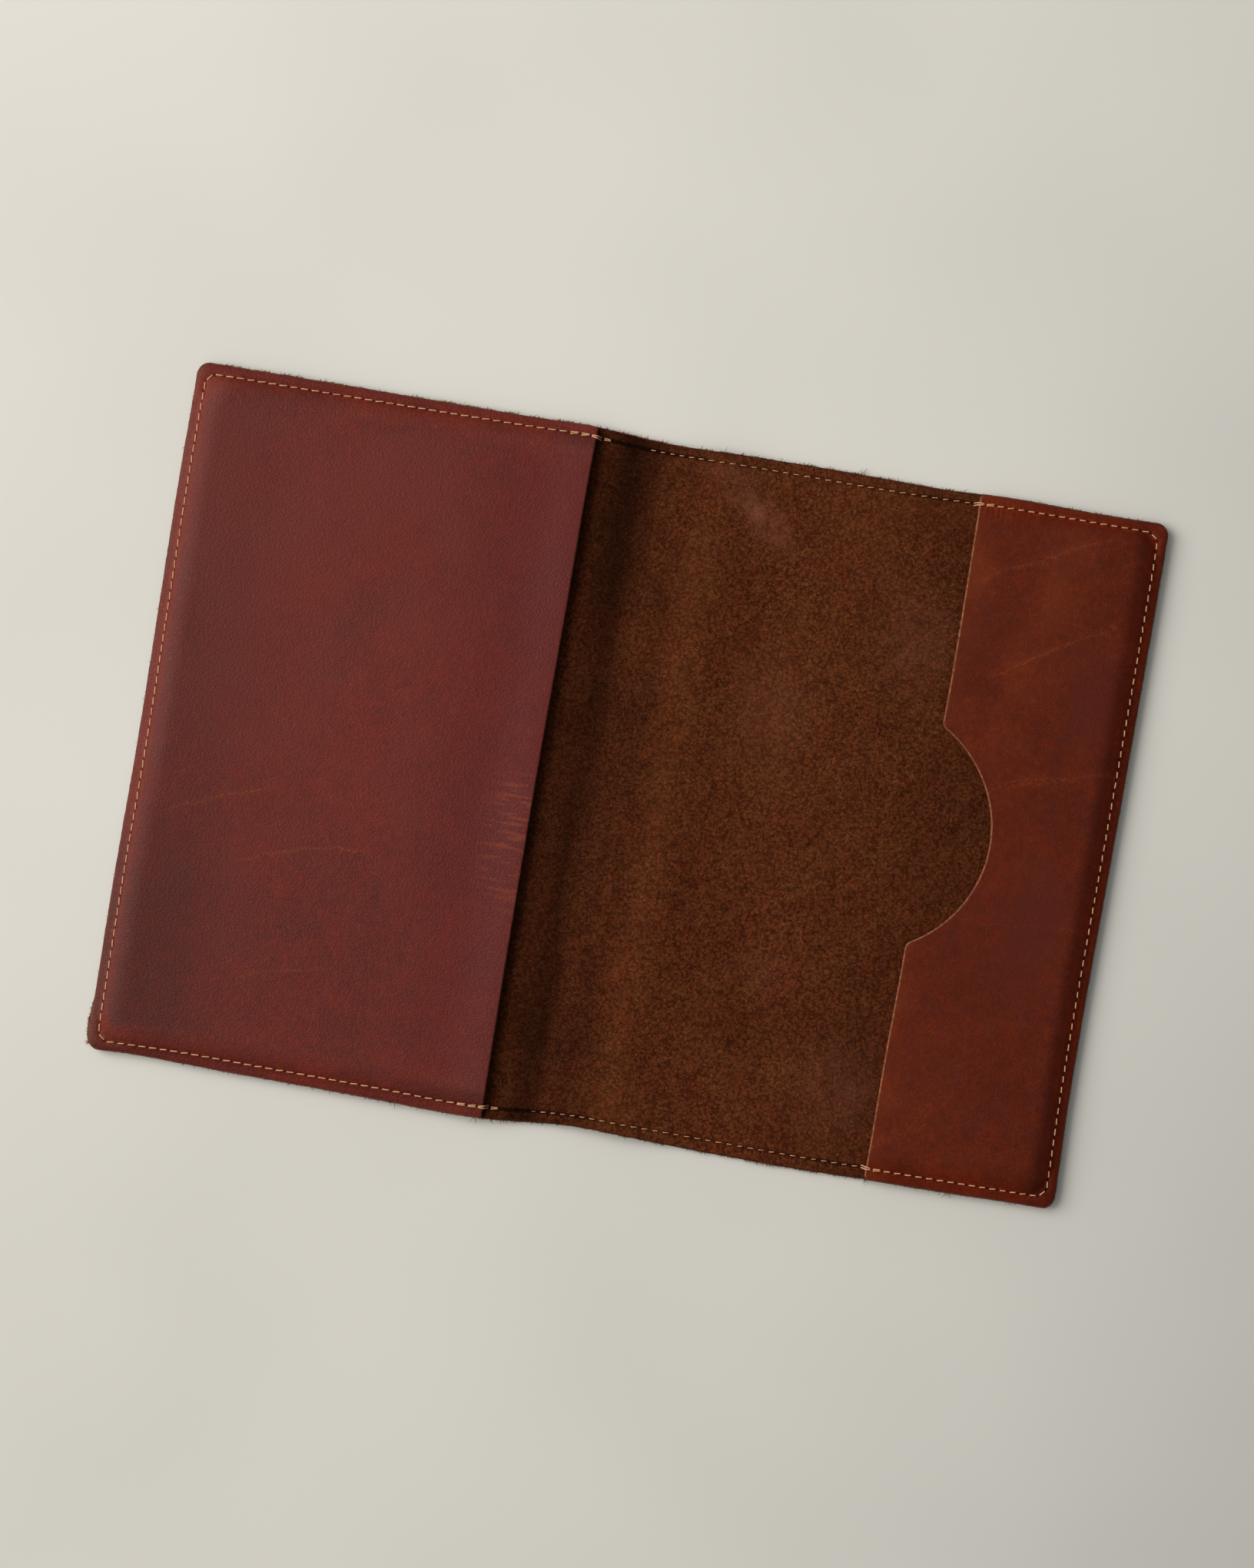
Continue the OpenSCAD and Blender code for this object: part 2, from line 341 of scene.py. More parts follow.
def seam_marks(x, y, runs):
    """Where each point lies by the seam: phase along it (0 at a needle hole) and distance across it."""
    phase, across = np.zeros_like(x), np.full_like(x, FAR)
    for (ax, ay), (bx, by), count in runs:
        run = math.dist((ax, ay), (bx, by))
        ux, uy = (bx - ax) / run, (by - ay) / run
        a = (x - ax) * ux + (y - ay) * uy
        d = (y - ay) * ux - (x - ax) * uy
        over = np.maximum(np.maximum(-a, a - run), 0)
        gap = np.hypot(d, over)
        closer = gap < np.abs(across)
        phase = np.where(closer, a / run * count, phase)
        across = np.where(closer, np.where(d < 0, -gap, gap), across)
    return phase, across


def seam_relief(x, y, runs, depth):
    """How the pulled thread shapes the leather: a groove, dips at the needle holes and soft pillows beside it."""
    phase, across = seam_marks(x, y, runs)
    hole = bell((phase + 0.5) % 1 - 0.5, 0.17)
    groove = -depth * (0.55 + 0.75 * hole) * bell(across, 0.42)
    return groove + 0.3 * depth * bell(np.abs(across) - 1.05, 0.45) * (1 - 0.5 * hole)


# ---- Surfaces of the flat pattern: height at a place, in millimetres ----


def from_edge(x, y, corner):
    """Distance inwards from the three sewn sides, rounded at the corners."""
    dx, dy = EDGE_X - np.abs(x), EDGE_Y - np.abs(y)
    qx, qy = np.maximum(corner - dx, 0), np.maximum(corner - dy, 0)
    return np.where((qx > 0) & (qy > 0), corner - np.hypot(qx, qy), np.minimum(dx, dy))


PANEL_R = 9.0  # corner radius of a pocket's raised panel
LEATHER_GAP = 0.02  # room between two leathers that lie on each other


def nap_relief(x, y):
    return 0.5 * mottle(x, y, 1.7, 11) + 0.35 * mottle(x, y, 0.95, 12) + 0.25 * mottle(x, y, 5.5, 13)


def pressed(x, y, depth, reach):
    """How much thinner the leather is near the sewn sides, where it was cut and pressed."""
    return depth * np.exp(-np.maximum(from_edge(x, y, sizes()["corner_r"]), 0) / reach)


def cover_lip(x, y):
    """The cover's upper side without nap or seam."""
    return COVER_T - pressed(x, y, 0.24, 0.9)


def suede_height(x, y):
    """The cover's flesh side, which shows between the pockets."""
    size = sizes()
    bare = band(FRONT_MOUTH - 2, FRONT_MOUTH, BACK_MOUTH + 14, BACK_MOUTH + 16, x)
    seam = seam_relief(x, y, runs_over_suede(), 1.1 * size["groove"])
    return cover_lip(x, y) + bare * (size["nap"] * nap_relief(x, y) + seam)


def outer_height(x, y):
    """The cover's grain side, which lies on the table."""
    runs = runs_outside(-1) + spine_runs() + runs_outside(1)
    return pressed(x, y, 0.2, 0.8) - seam_relief(x, y, runs, 1.6 * sizes()["groove"])


def pocket_floor(x, y):
    """The underside of a pocket's leather."""
    panel = from_edge(x, y, PANEL_R)
    swell = np.clip((panel - 1.0) / 5.6, 0, 1)
    room = sizes()["pocket_room"] * (1 - (1 - swell) ** 2.1) * rise(0.6, 2.2, panel)
    return cover_lip(x, y) + LEATHER_GAP + room


def pocket_height(x, y):
    """The grain side of a pocket, without its seam."""
    size = sizes()
    calm = rise(3, 14, from_edge(x, y, size["corner_r"]))
    waves = 0.1 * mottle(x, y, 31, 21) + 0.035 * mottle(x, y, 9, 22)
    return pocket_floor(x, y) + size["pocket_t"] - pressed(x, y, 0.26, 0.7) + calm * waves


def pocket_skin(side):
    """The grain side of one pocket, with its seam."""

    def height(x, y):
        return pocket_height(x, y) + seam_relief(x, y, runs_on_pocket(side), sizes()["groove"])

    return height


def notch_edge(y, inset=0.0):
    """The back pocket's mouth with its thumb notch: x for each y."""
    size = sizes()
    centre = BACK_MOUTH + size["notch_depth"] - size["notch_r"]
    lip_x = BACK_MOUTH + size["notch_lip_r"]
    lip_y = math.sqrt((size["notch_r"] + size["notch_lip_r"]) ** 2 - (lip_x - centre) ** 2)
    r, lip = size["notch_r"] + inset, size["notch_lip_r"] - inset
    touch = lip_y * size["notch_r"] / (size["notch_r"] + size["notch_lip_r"])
    far = np.abs(y)
    arc = centre + np.sqrt(np.maximum(r * r - far * far, 0))
    bend = lip_x - np.sqrt(np.maximum(lip * lip - (far - lip_y) ** 2, 0))
    return np.where(far < touch, arc, np.where(far < lip_y, bend, BACK_MOUTH + inset))


# ---- Meshes ----


def leather_mesh(name, points, faces, marks, kinds=None):
    """A settled mesh in metres. points are on the flat pattern, marks are vectors that its finish reads."""
    mesh = bpy.data.meshes.new(name)
    mesh.from_pydata((settle(points) * MM).tolist(), [], faces)
    for key, value in {"flat": points, **marks}.items():
        layer = mesh.attributes.new(key, "FLOAT_VECTOR", "POINT")
        layer.data.foreach_set("vector", np.ascontiguousarray(value, np.float32).ravel())
    if kinds is not None:
        mesh.polygons.foreach_set("material_index", np.asarray(kinds, np.int32))
    mesh.polygons.foreach_set("use_smooth", [True] * len(mesh.polygons))
    mesh.update()
    piece = bpy.data.objects.new(name, mesh)
    bpy.context.scene.collection.objects.link(piece)
    return piece


def quads(index):
    """Faces of a grid of vertex numbers."""
    a, b, c, d = index[:-1, :-1], index[1:, :-1], index[1:, 1:], index[:-1, 1:]
    return np.stack([a, b, c, d], -1).reshape(-1, 4)


def border(index, open_start):
    """Vertex numbers round a grid, starting along its first column. Where open_start, its first row is left open."""
    up = index[:, 0]
    far = index[-1, 1:]
    down = index[-2::-1, -1]
    near = index[0, -2:0:-1]
    return np.concatenate([up, far, down] if open_start else [up, far, down, near])


def facing_up(points, faces):
    """The faces, turned over if the upper skin looks down."""
    a, b, c = (points[v] for v in faces[0][:3])
    return [f[::-1] for f in faces] if np.cross(b - a, c - a)[2] < 0 else faces


def sheet_of_leather(upper, lower, coarse_u, coarse_v, rim, open_start):
    """A closed sheet between two skins of one grid. The lower skin keeps only its coarse lines, and the rim gives
    (outward step, share of the way down) for each ring of the cut edge. Returns points, faces, a kind for each
    face (0 upper, 1 lower, 2 rim) and the number of points of the upper skin."""
    rows, columns = upper.shape[:2]
    top = np.arange(rows * columns).reshape(rows, columns)
    points = [upper.reshape(-1, 3)]
    low_points = lower[np.ix_(coarse_u, coarse_v)]
    bottom = rows * columns + np.arange(low_points.shape[0] * low_points.shape[1]).reshape(low_points.shape[:2])
    points.append(low_points.reshape(-1, 3))
    faces = [list(f) for f in quads(top).tolist()]
    kinds = [0] * len(faces)
    under = quads(bottom)[:, ::-1].tolist()
    faces += under
    kinds += [1] * len(under)
    ring = border(top, open_start)
    flat_top = upper.reshape(-1, 3)[ring]
    flat_low = lower.reshape(-1, 3)[ring]
    step = np.roll(flat_top, -1, 0) - np.roll(flat_top, 1, 0)
    if open_start:
        step[0], step[-1] = flat_top[1] - flat_top[0], flat_top[-1] - flat_top[-2]
    out = np.stack([step[:, 1], -step[:, 0]], -1)
    out /= np.maximum(np.linalg.norm(out, axis=1, keepdims=True), 1e-9)
    inside = upper.reshape(-1, 3)[:, :2].mean(0)
    if ((flat_top[:, :2] - inside) * out).sum() < 0:
        out = -out
    offset = rows * columns + bottom.size
    rings = [ring]
    for way, down in rim:
        level = flat_top * (1 - down) + flat_low * down
        reach = way(level) if callable(way) else way
        level[:, :2] += out * np.reshape(reach, (-1, 1))
        points.append(level)
        rings.append(offset + np.arange(len(ring)))
        offset += len(ring)
    closing = 0 if open_start else 1
    for a, b in zip(rings, rings[1:]):
        n = len(a)
        for k in range(n - 1 + closing):
            m = (k + 1) % n
            faces.append([a[k], b[k], b[m], a[m]])
            kinds.append(2)
    # the last ring meets the coarse lower skin
    number = np.full(rows * columns, -1)
    number[top[np.ix_(coarse_u, coarse_v)].ravel()] = bottom.ravel()
    low_ring = number[ring]
    kept = np.where(low_ring >= 0)[0]
    last = rings[-1]
    spans = list(zip(kept, np.roll(kept, -1)))
    for start, end in spans[: len(spans) - (1 if open_start else 0)]:
        stop = end if end > start else end + len(ring)
        edge = [last[k % len(ring)] for k in range(start, stop + 1)]
        faces.append([low_ring[end % len(ring)]] + edge[::-1] + [low_ring[start]])
        kinds.append(2)
    points = np.concatenate(points)
    return points, facing_up(points, [[int(v) for v in f] for f in faces]), kinds, rows * columns


def lines(*stretches):
    """Grid lines through stretches of (from, to, spacing), each end shared."""
    out = [stretches[0][0]]
    for start, end, gap in stretches:
        n = max(1, round(abs(end - start) / gap))
        out += list(start + (end - start) * np.arange(1, n + 1) / n)
    return np.array(out)


def every(count, start, end, step):
    """Numbers of the lines kept on a coarse skin: all outside start to end, and each step-th between."""
    keep = list(range(0, start)) + list(range(start, end, step)) + list(range(end, count))
    return np.array(sorted(set(keep) | {0, count - 1}))


def round_corners(x, y, inset):
    """Bends the square outer corners of a grid to the pattern's radius."""
    r = sizes()["corner_r"] - inset
    side, up = np.sign(x), np.sign(y)
    a = (np.abs(x) - (EDGE_X - inset - r)) / r
    b = (np.abs(y) - (EDGE_Y - inset - r)) / r
    hit = (a > 0) & (b > 0)
    a, b = np.where(hit, a, 0), np.where(hit, b, 0)
    scale = np.where(hit, np.maximum(a, b) / np.maximum(np.hypot(a, b), 1e-9), 1)
    x = np.where(hit, side * (EDGE_X - inset - r + a * scale * r), x)
    y = np.where(hit, up * (EDGE_Y - inset - r + b * scale * r), y)
    return x, y


LONG_HAIRS = (  # place along x, edge, length and number of the longer hairs
    (-36.5, -1, 1.3, 2), (-31, -1, 1.1, 2), (-20, -1, 1.5, 3), (-16.5, -1, 1.1, 3), (-13.5, -1, 0.9, 4),
    (-8, -1, 0.8, 3), (36, 1, 2.0, 4), (33, 1, 0.9, 3), (8, 1, 1.4, 1), (20, 1, 0.9, 2), (61, -1, 1.2, 5),
    (77.5, -1, 1.3, 4), (90.5, -1, 1.0, 3), (57, 1, 0.9, 2), (85, 1, 0.7, 2), (-45, 1, 0.8, 3),
)
BEVEL = 0.25  # rounding of the cut edges
FINE = 0.24  # spacing of the grid lines by a seam
SEWN = 3.2  # width of the border with fine grid lines, which holds the seam
SEWN_LINES = round(SEWN / FINE)
BARE, HIDDEN = 0.43, 1.6  # spacing of the grid lines on the suede that shows, and under a pocket
MOUTH_RIM, MOUTH_FINE = 1.6, 0.2  # width and spacing of the grid lines along a pocket's mouth


def rough(reach, amount, seed):
    """A cut edge that isn't quite even."""

    def way(level):
        x, y = level[:, 0], level[:, 1]
        return reach + amount * (mottle(x + y, x - y, 0.8, seed) + 0.6 * mottle(x, y, 4.0, seed + 1))

    return way


def edge_rim(seed):
    """Rings of a cut edge: outward step and share of the way down."""
    rings = ((0.6, 0.015, 0, 0.07), (1, 0.05, 0, 0.24), (1, 0.06, 2, 0.5), (1, 0.05, 4, 0.76), (0.6, 0.015, 0, 0.93))
    return [(rough(reach * BEVEL, amount, seed + more), down) for reach, amount, more, down in rings]


def outer_lines():
    """Grid lines along y, which both halves and both pockets share."""
    pitch = sizes()["stitch_pitch"]
    edge = EDGE_Y - BEVEL
    return lines((-edge, -edge + SEWN, FINE), (-edge + SEWN, edge - SEWN, pitch / 4), (edge - SEWN, edge, FINE))


def with_marks(name, points, faces, kinds, parts):
    """The mesh of a cut piece. parts are (slice of its points, runs of the seam that they lie by)."""
    marks = {key: np.zeros((len(points), 3)) for key in ("seam", "wear", "lines")}
    for part, runs in parts:
        marks["seam"][part, :2] = np.stack(seam_marks(points[part, 0], points[part, 1], runs), -1)
    return leather_mesh(name, points, faces, marks, kinds)


def cut_cover(side):
    """One half of the cover, from the middle of the spine to its outer edge."""
    edge = EDGE_X - BEVEL
    visible = mouth_of(side) + (16 if side > 0 else 2)
    u = lines((0, visible, BARE), (visible, edge - SEWN, HIDDEN), (edge - SEWN, edge, FINE))
    v = outer_lines()
    x, y = np.meshgrid(side * u, v, indexing="ij")
    x, y = round_corners(x, y, BEVEL)
    upper = np.stack([x, y, suede_height(x, y)], -1)
    lower = np.stack([x, y, outer_height(x, y)], -1)
    seen = int(np.searchsorted(u, visible))
    coarse_u = every(len(u), 1, seen, 2)
    coarse_v = every(len(v), SEWN_LINES, len(v) - 1 - SEWN_LINES, 2)
    rim = edge_rim(31 if side < 0 else 41)
    points, faces, kinds, tops = sheet_of_leather(upper, lower, coarse_u, coarse_v, rim, True)
    under = slice(tops, tops + len(coarse_u) * len(coarse_v))
    parts = (slice(tops), runs_over_suede()), (under, runs_outside(side) + spine_runs())
    return with_marks("cover_front" if side < 0 else "cover_back", points, faces, kinds, parts)


def cut_pocket(side):
    """One pocket, formed up from its sewn border."""
    size = sizes()
    edge = EDGE_X - BEVEL
    v = outer_lines()
    inner = mouth_of(side) + BEVEL
    mouth = np.full(len(v), inner) if side < 0 else notch_edge(v, BEVEL)
    r = size["mouth_r"]
    corner = np.maximum(np.abs(v) - (EDGE_Y - r), 0)
    mouth = mouth + r - np.sqrt(np.maximum(r * r - corner * corner, 0))
    sewn = edge - SEWN
    rim_end = inner + MOUTH_RIM
    panel_lines = lines((inner, rim_end, MOUTH_FINE), (rim_end, sewn, size["stitch_pitch"] / 4))
    share = (panel_lines - inner) / (sewn - inner)
    fine = lines((sewn, edge, FINE))[1:]
    x = np.concatenate([mouth + np.outer(share, sewn - mouth), np.repeat(fine[:, None], len(v), 1)], 0)
    y = np.repeat(v[None, :], x.shape[0], 0)
    x, y = round_corners(side * x, y, BEVEL)
    skin = pocket_skin(side)
    upper = np.stack([x, y, skin(x, y)], -1)
    lower = np.stack([x, y, pocket_floor(x, y)], -1)
    rows, columns = x.shape
    coarse_u = every(rows, 1, rows - len(fine), 5)
    coarse_v = every(columns, SEWN_LINES + 1, columns - SEWN_LINES - 2, 5)
    rim = edge_rim(51 if side < 0 else 61)
    points, faces, kinds, tops = sheet_of_leather(upper, lower, coarse_u, coarse_v, rim, False)
    parts = ((slice(tops), runs_on_pocket(side)),)
    return with_marks("pocket_front" if side < 0 else "pocket_back", points, faces, kinds, parts)


# ---- Shader maths ----


class Socket:
    """A material's socket that takes part in Python expressions."""

    def __init__(self, finish, socket):
        self.finish, self.socket = finish, socket

    def __add__(self, other):
        return self.finish.math("ADD", self, other)

    def __sub__(self, other):
        return self.finish.math("SUBTRACT", self, other)

    def __rsub__(self, other):
        return self.finish.math("SUBTRACT", other, self)

    def __mul__(self, other):
        return self.finish.math("MULTIPLY", self, other)

    def __abs__(self):
        return self.finish.math("ABSOLUTE", self)

    __radd__, __rmul__ = __add__, __mul__


class Finish:
    """The nodes of a material or a world, and the few mixes that leather needs."""

    def __init__(self, owner):
        owner.use_nodes = True
        self.owner, self.tree = owner, owner.node_tree
        self.tree.nodes.clear()

    def add(self, kind, settings=None, inputs=None, output=0):
        """Adds one node: its settings first, then the values or links of its sockets."""
        node = self.tree.nodes.new(kind)
        for key, value in (settings or {}).items():
            setattr(node, key, value)
        for key, value in (inputs or {}).items():
            if isinstance(value, Socket):
                self.tree.links.new(value.socket, node.inputs[key])
            else:
                node.inputs[key].default_value = value
        return Socket(self, node.outputs[output]) if len(node.outputs) else None

    def math(self, operation, *values):
        return self.add("ShaderNodeMath", {"operation": operation}, dict(enumerate(values)))

    def part(self, vector, axis):
        """One of a vector's three parts."""
        return self.add("ShaderNodeSeparateXYZ", None, {0: vector}, axis)

    def mark(self, name, part=None):
        """A vector that the mesh carries, or one of its parts."""
        vector = self.add("ShaderNodeAttribute", {"attribute_name": name}, output=1)
        return vector if part is None else self.part(vector, part)

    def stretched(self, vector, scale, shift=(0, 0, 0)):
        return self.add("ShaderNodeMapping", None, {"Vector": vector, "Location": shift, "Scale": scale})

    def noise(self, vector, scale, detail=2.0, roughness=0.5, distortion=0.0):
        inputs = {"Vector": vector, "Scale": scale, "Detail": detail, "Roughness": roughness, "Distortion": distortion}
        return self.add("ShaderNodeTexNoise", None, inputs)

    def cells(self, vector, scale):
        """Distance to the middle of the nearest cell."""
        return self.add("ShaderNodeTexVoronoi", {"feature": "F1"}, {"Vector": vector, "Scale": scale})

    def warped(self, vector, scale, detail, reach):
        """A vector that soft noise shifts here and there."""
        way = self.add("ShaderNodeTexNoise", None, {"Vector": vector, "Scale": scale, "Detail": detail}, 1)
        shift = self.add("ShaderNodeVectorMath", {"operation": "SCALE"}, {0: way, "Scale": reach})
        return self.add("ShaderNodeVectorMath", {"operation": "ADD"}, {0: vector, 1: shift})

    def between(self, value, low, high, start=0.0, end=1.0):
        """Maps value from low..high to start..end smoothly."""
        inputs = {"Value": value, "From Min": low, "From Max": high, "To Min": start, "To Max": end}
        return self.add("ShaderNodeMapRange", {"interpolation_type": "SMOOTHSTEP"}, inputs)

    def mix(self, amount, a, b, blend="MIX"):
        """A mix of two colours."""
        a, b = ((*c, 1.0) if isinstance(c, tuple) and len(c) == 3 else c for c in (a, b))
        return self.add("ShaderNodeMix", {"data_type": "RGBA", "blend_type": blend}, {0: amount, 6: a, 7: b}, 2)

    def tinted(self, amount, rgb, tint):
        """A colour, multiplied by a tint to that amount."""
        return self.mix(amount, rgb, self.mix(1.0, rgb, tint, "MULTIPLY"))

    def surface(self, base, matt, height, relief, strength, gloss):
        """Ends the material in a Principled shader with a bump, and returns the material."""
        bump = self.add("ShaderNodeBump", None, {"Height": height, "Distance": relief * MM, "Strength": strength})
        inputs = {"Base Color": base, "Roughness": matt, "Normal": bump, "Specular IOR Level": gloss}
        shader = self.add("ShaderNodeBsdfPrincipled", None, inputs)
        self.add("ShaderNodeOutputMaterial", None, {"Surface": shader})
        return self.owner


BLACK = (0.0, 0.0, 0.0)


def tone(rgb, factor):
    return tuple(min(1.0, c * factor) for c in rgb)


def finish_of(name):
    return Finish(bpy.data.materials.new(name))


def grain_finish(name, base, bloom_and_painted_sheen, pebble, gloss):
    """Waxed grain leather: pebbled, mottled, lighter where it is rubbed or stretched, with painted highlights, shade
    and sheen from the marks that its mesh carries.
    """
    f = finish_of(name)
    base, pull_up = tuple(base), tuple(colours().pull_up)
    flat = f.mark("flat")
    rub_and_painted_highlight, folded, dark = (f.mark("wear", k) for k in range(3))
    hole = f.between(f.math("PINGPONG", f.mark("seam", 0), 0.5), 0.0, 0.17, 1.0, 0.0)
    across = abs(f.mark("seam", 1))
    by_seam, in_seam = f.between(across, 0.25, 0.9, 1.0, 0.0), f.between(across, 0.12, 0.4, 1.0, 0.0)
    warped = f.warped(flat, 1.1, 1.0, 0.6)
    creases = f.between(f.cells(f.stretched(warped, (1.9, 3.0, 1.0)), 1.0), 0.25, 0.72)
    fine = f.noise(flat, 6.5, 2.0, 0.65)
    drift = f.noise(flat, 0.045, 3.0, 0.55, 0.4)
    cloud = f.noise(flat, 0.22, 3.0, 0.6)
    flecks = f.noise(warped, 0.8, 3.0, 0.7)
    hair = f.noise(f.stretched(flat, (0.22, 1.4, 1.0)), 1.0, 3.0, 0.6, 0.6)
    # the mottled body colour, darker in the creases between the pebbles as painted shade
    shade = f.between(drift, 0.3, 0.7, 0.9, 1.1) * f.between(cloud, 0.25, 0.75, 0.9, 1.1)
    shade = shade * f.between(flecks, 0.3, 0.7, 0.88, 1.12)
    shade = shade * f.between(fine, 0.25, 0.75, 0.58, 1.42) * (1.03 - creases * (0.14 * pebble))
    hue = f.noise(warped, 0.35, 4.0, 0.7)
    lit = f.mix(0.5 * shade, BLACK, tone(base, 2.0))
    lit = f.tinted(f.between(hue, 0.5, 0.66, 0.0, 0.55), lit, tuple(b / c for b, c in zip(bloom_and_painted_sheen, base)))
    lit = f.tinted(f.between(hue, 0.5, 0.34, 0.0, 0.7), lit, (1.12, 1.0, 0.4))
    # where the wax has lifted: veins, wrinkles, rubbed and folded places, and along the seam; the same lighter tone
    # paints highlights, such as along the front pocket's left border
    line = abs(f.mark("lines", 0) + f.between(flecks, 0.3, 0.7, -0.3, 0.3))
    veins = f.mark("lines", 1) * (f.between(line, 0.08, 0.42, 0.75, 0.0) + f.between(line, 0.4, 1.8, 0.28, 0.0))
    veins = veins * f.between(f.noise(flat, 2.2, 3.0, 0.65), 0.35, 0.62, 0.2, 1.0)
    ripples = f.noise(f.stretched(warped, (0.13, 1.3, 1.0), (3, 8, 1)), 1.0, 2.0, 0.5)
    wrinkles = f.between(folded, 0.0, -1.0, 0.0, 0.9) * f.between(ripples, 0.48, 0.62)
    scuffs = f.between(folded, 0.0, 1.0) * f.between(f.noise(flat, 1.6, 3.0, 0.65), 0.35, 0.62, 0.25, 1.0)
    streak = f.between(hair, 0.55, 0.78) * f.between(drift, 0.42, 0.62, 0.0, 0.5)
    lift = rub_and_painted_highlight * 0.85 + scuffs + wrinkles + veins + streak * 0.25
    lift = lift + f.between(flecks, 0.52, 0.75, 0.0, 0.14) * f.between(cloud, 0.4, 0.6)
    lift = lift + by_seam * (1 - in_seam) * f.between(f.noise(flat, 0.7, 2.0), 0.4, 0.62, 0.0, 0.4)
    raised = f.mix(f.between(lift, 0.0, 1.0), lit, pull_up)
    # what darkens or cools it: painted shade, the seam's groove and needle holes painted darker as shade, dark specks,
    # and below 0 a paler, bluer tone, partly wax blooming, partly painted sheen
    specks = f.between(f.cells(flat, 0.32), 0.035, 0.075, 1.0, 0.0) * f.between(f.noise(flat, 0.11, 1.0), 0.5, 0.62)
    depth = f.between(dark, 0.0, 1.0) * 0.6 + in_seam * 0.12 + in_seam * hole * 0.42 + specks * 0.35
    with_painted_sheen = f.mix(f.between(dark, 0.0, -1.0, 0.0, 0.8), raised, bloom_and_painted_sheen)
    waxed = f.tinted(f.between(across, 0.3, 3.2, 0.75, 0.0), with_painted_sheen, (1.04, 0.7, 0.3))
    final = f.mix(f.between(depth, 0.0, 1.0), waxed, tone(base, 0.16))
    # Painted shade from the marks, and below 0 a redder tone.
    dim = f.mark("lines", 2)
    final = f.mix(0 - dim, f.mix(dim, final, BLACK), (0.09, 0.0, 0.0))
    matt = f.between(drift, 0.3, 0.7, 0.47, 0.55) + creases * 0.08 + lift * 0.05
    relief = creases * (-0.8 * pebble) + fine * (0.5 * pebble) + hair * 0.25 - in_seam * hole * 2.2 + flecks * 0.5
    return f.surface(final, matt, relief, 0.042, 1.0, gloss)


def suede_finish(name):
    """The flesh side: matted nap, with painted highlights on the tips that catch the light and painted shade in the
    gaps between its clumps.
    """
    f = finish_of(name)
    base, tip = tuple(colours().suede), tuple(colours().suede_tip)
    flat = f.mark("flat")
    brushed, warm, dark = (f.mark("wear", k) for k in range(3))
    in_seam = f.between(abs(f.mark("seam", 1)), 0.15, 0.6, 1.0, 0.0)
    warped = f.warped(flat, 1.3, 2.0, 0.9)
    clumps = f.noise(warped, 2.0, 4.0, 0.76, 0.6)
    strands = f.noise(f.stretched(warped, (1.0, 2.2, 1.0)), 3.0, 4.0, 0.78, 1.4)
    fibres = f.noise(f.stretched(warped, (3.2, 7.5, 1.0), (9, 4, 2)), 1.0, 3.0, 0.75, 1.6)
    gaps = f.between(f.cells(warped, 1.6), 0.3, 0.8)
    patches = f.noise(flat, 0.09, 4.0, 0.6, 0.3)
    hues = f.noise(flat, 2.0, 4.0, 0.8, 0.5)
    blots = f.noise(f.stretched(flat, (1, 1, 1), (40, 7, 3)), 0.45, 3.0, 0.65, 0.5)
    height = clumps * 0.45 + strands * 0.42 + fibres * 0.42 - gaps * 0.12
    body = f.mix(f.between(height, 0.42, 0.56), tone(base, 0.3), base)
    body = f.mix(f.between(height, 0.54, 0.7), body, tip)
    shaded = f.mix(f.between(fibres, 0.5, 0.3, 0.0, 0.6), body, tone(base, 0.25))
    body = f.mix(f.between(fibres, 0.46, 0.68, 0.0, 0.8), shaded, tip)
    body = f.mix(1.0, body, f.mix(f.between(hues, 0.36, 0.64), (1.12, 0.82, 0.74), (0.88, 1.1, 1.2)), "MULTIPLY")
    redder = f.tinted(f.between(patches, 0.36, 0.62, 0.0, 0.6), body, (0.95, 0.74, 0.85))
    blotted = f.tinted(f.between(blots, 0.4, 0.68, 0.0, 0.55), redder, (0.66, 0.6, 0.6))
    lint = f.between(f.noise(flat, 5.0, 2.0, 0.7), 0.52, 0.72)
    smooth = f.mix(brushed * (0.45 + lint * 0.55), blotted, (0.29, 0.1, 0.058))
    # Warm brings in the painted highlight along the crest of the bow; dark brings the painted shadow and shade across
    # the fold and towards the back pocket, and the seam's groove painted darker as shade.
    golden = f.mix(warm * 0.3, smooth, (0.17, 0.052, 0.014))
    final = f.mix(f.between(dark * 0.75 + in_seam * 0.35, 0.0, 1.0), golden, tone(base, 0.12))
    return f.surface(final, 0.92, height, 0.3, 0.85, 0.04)


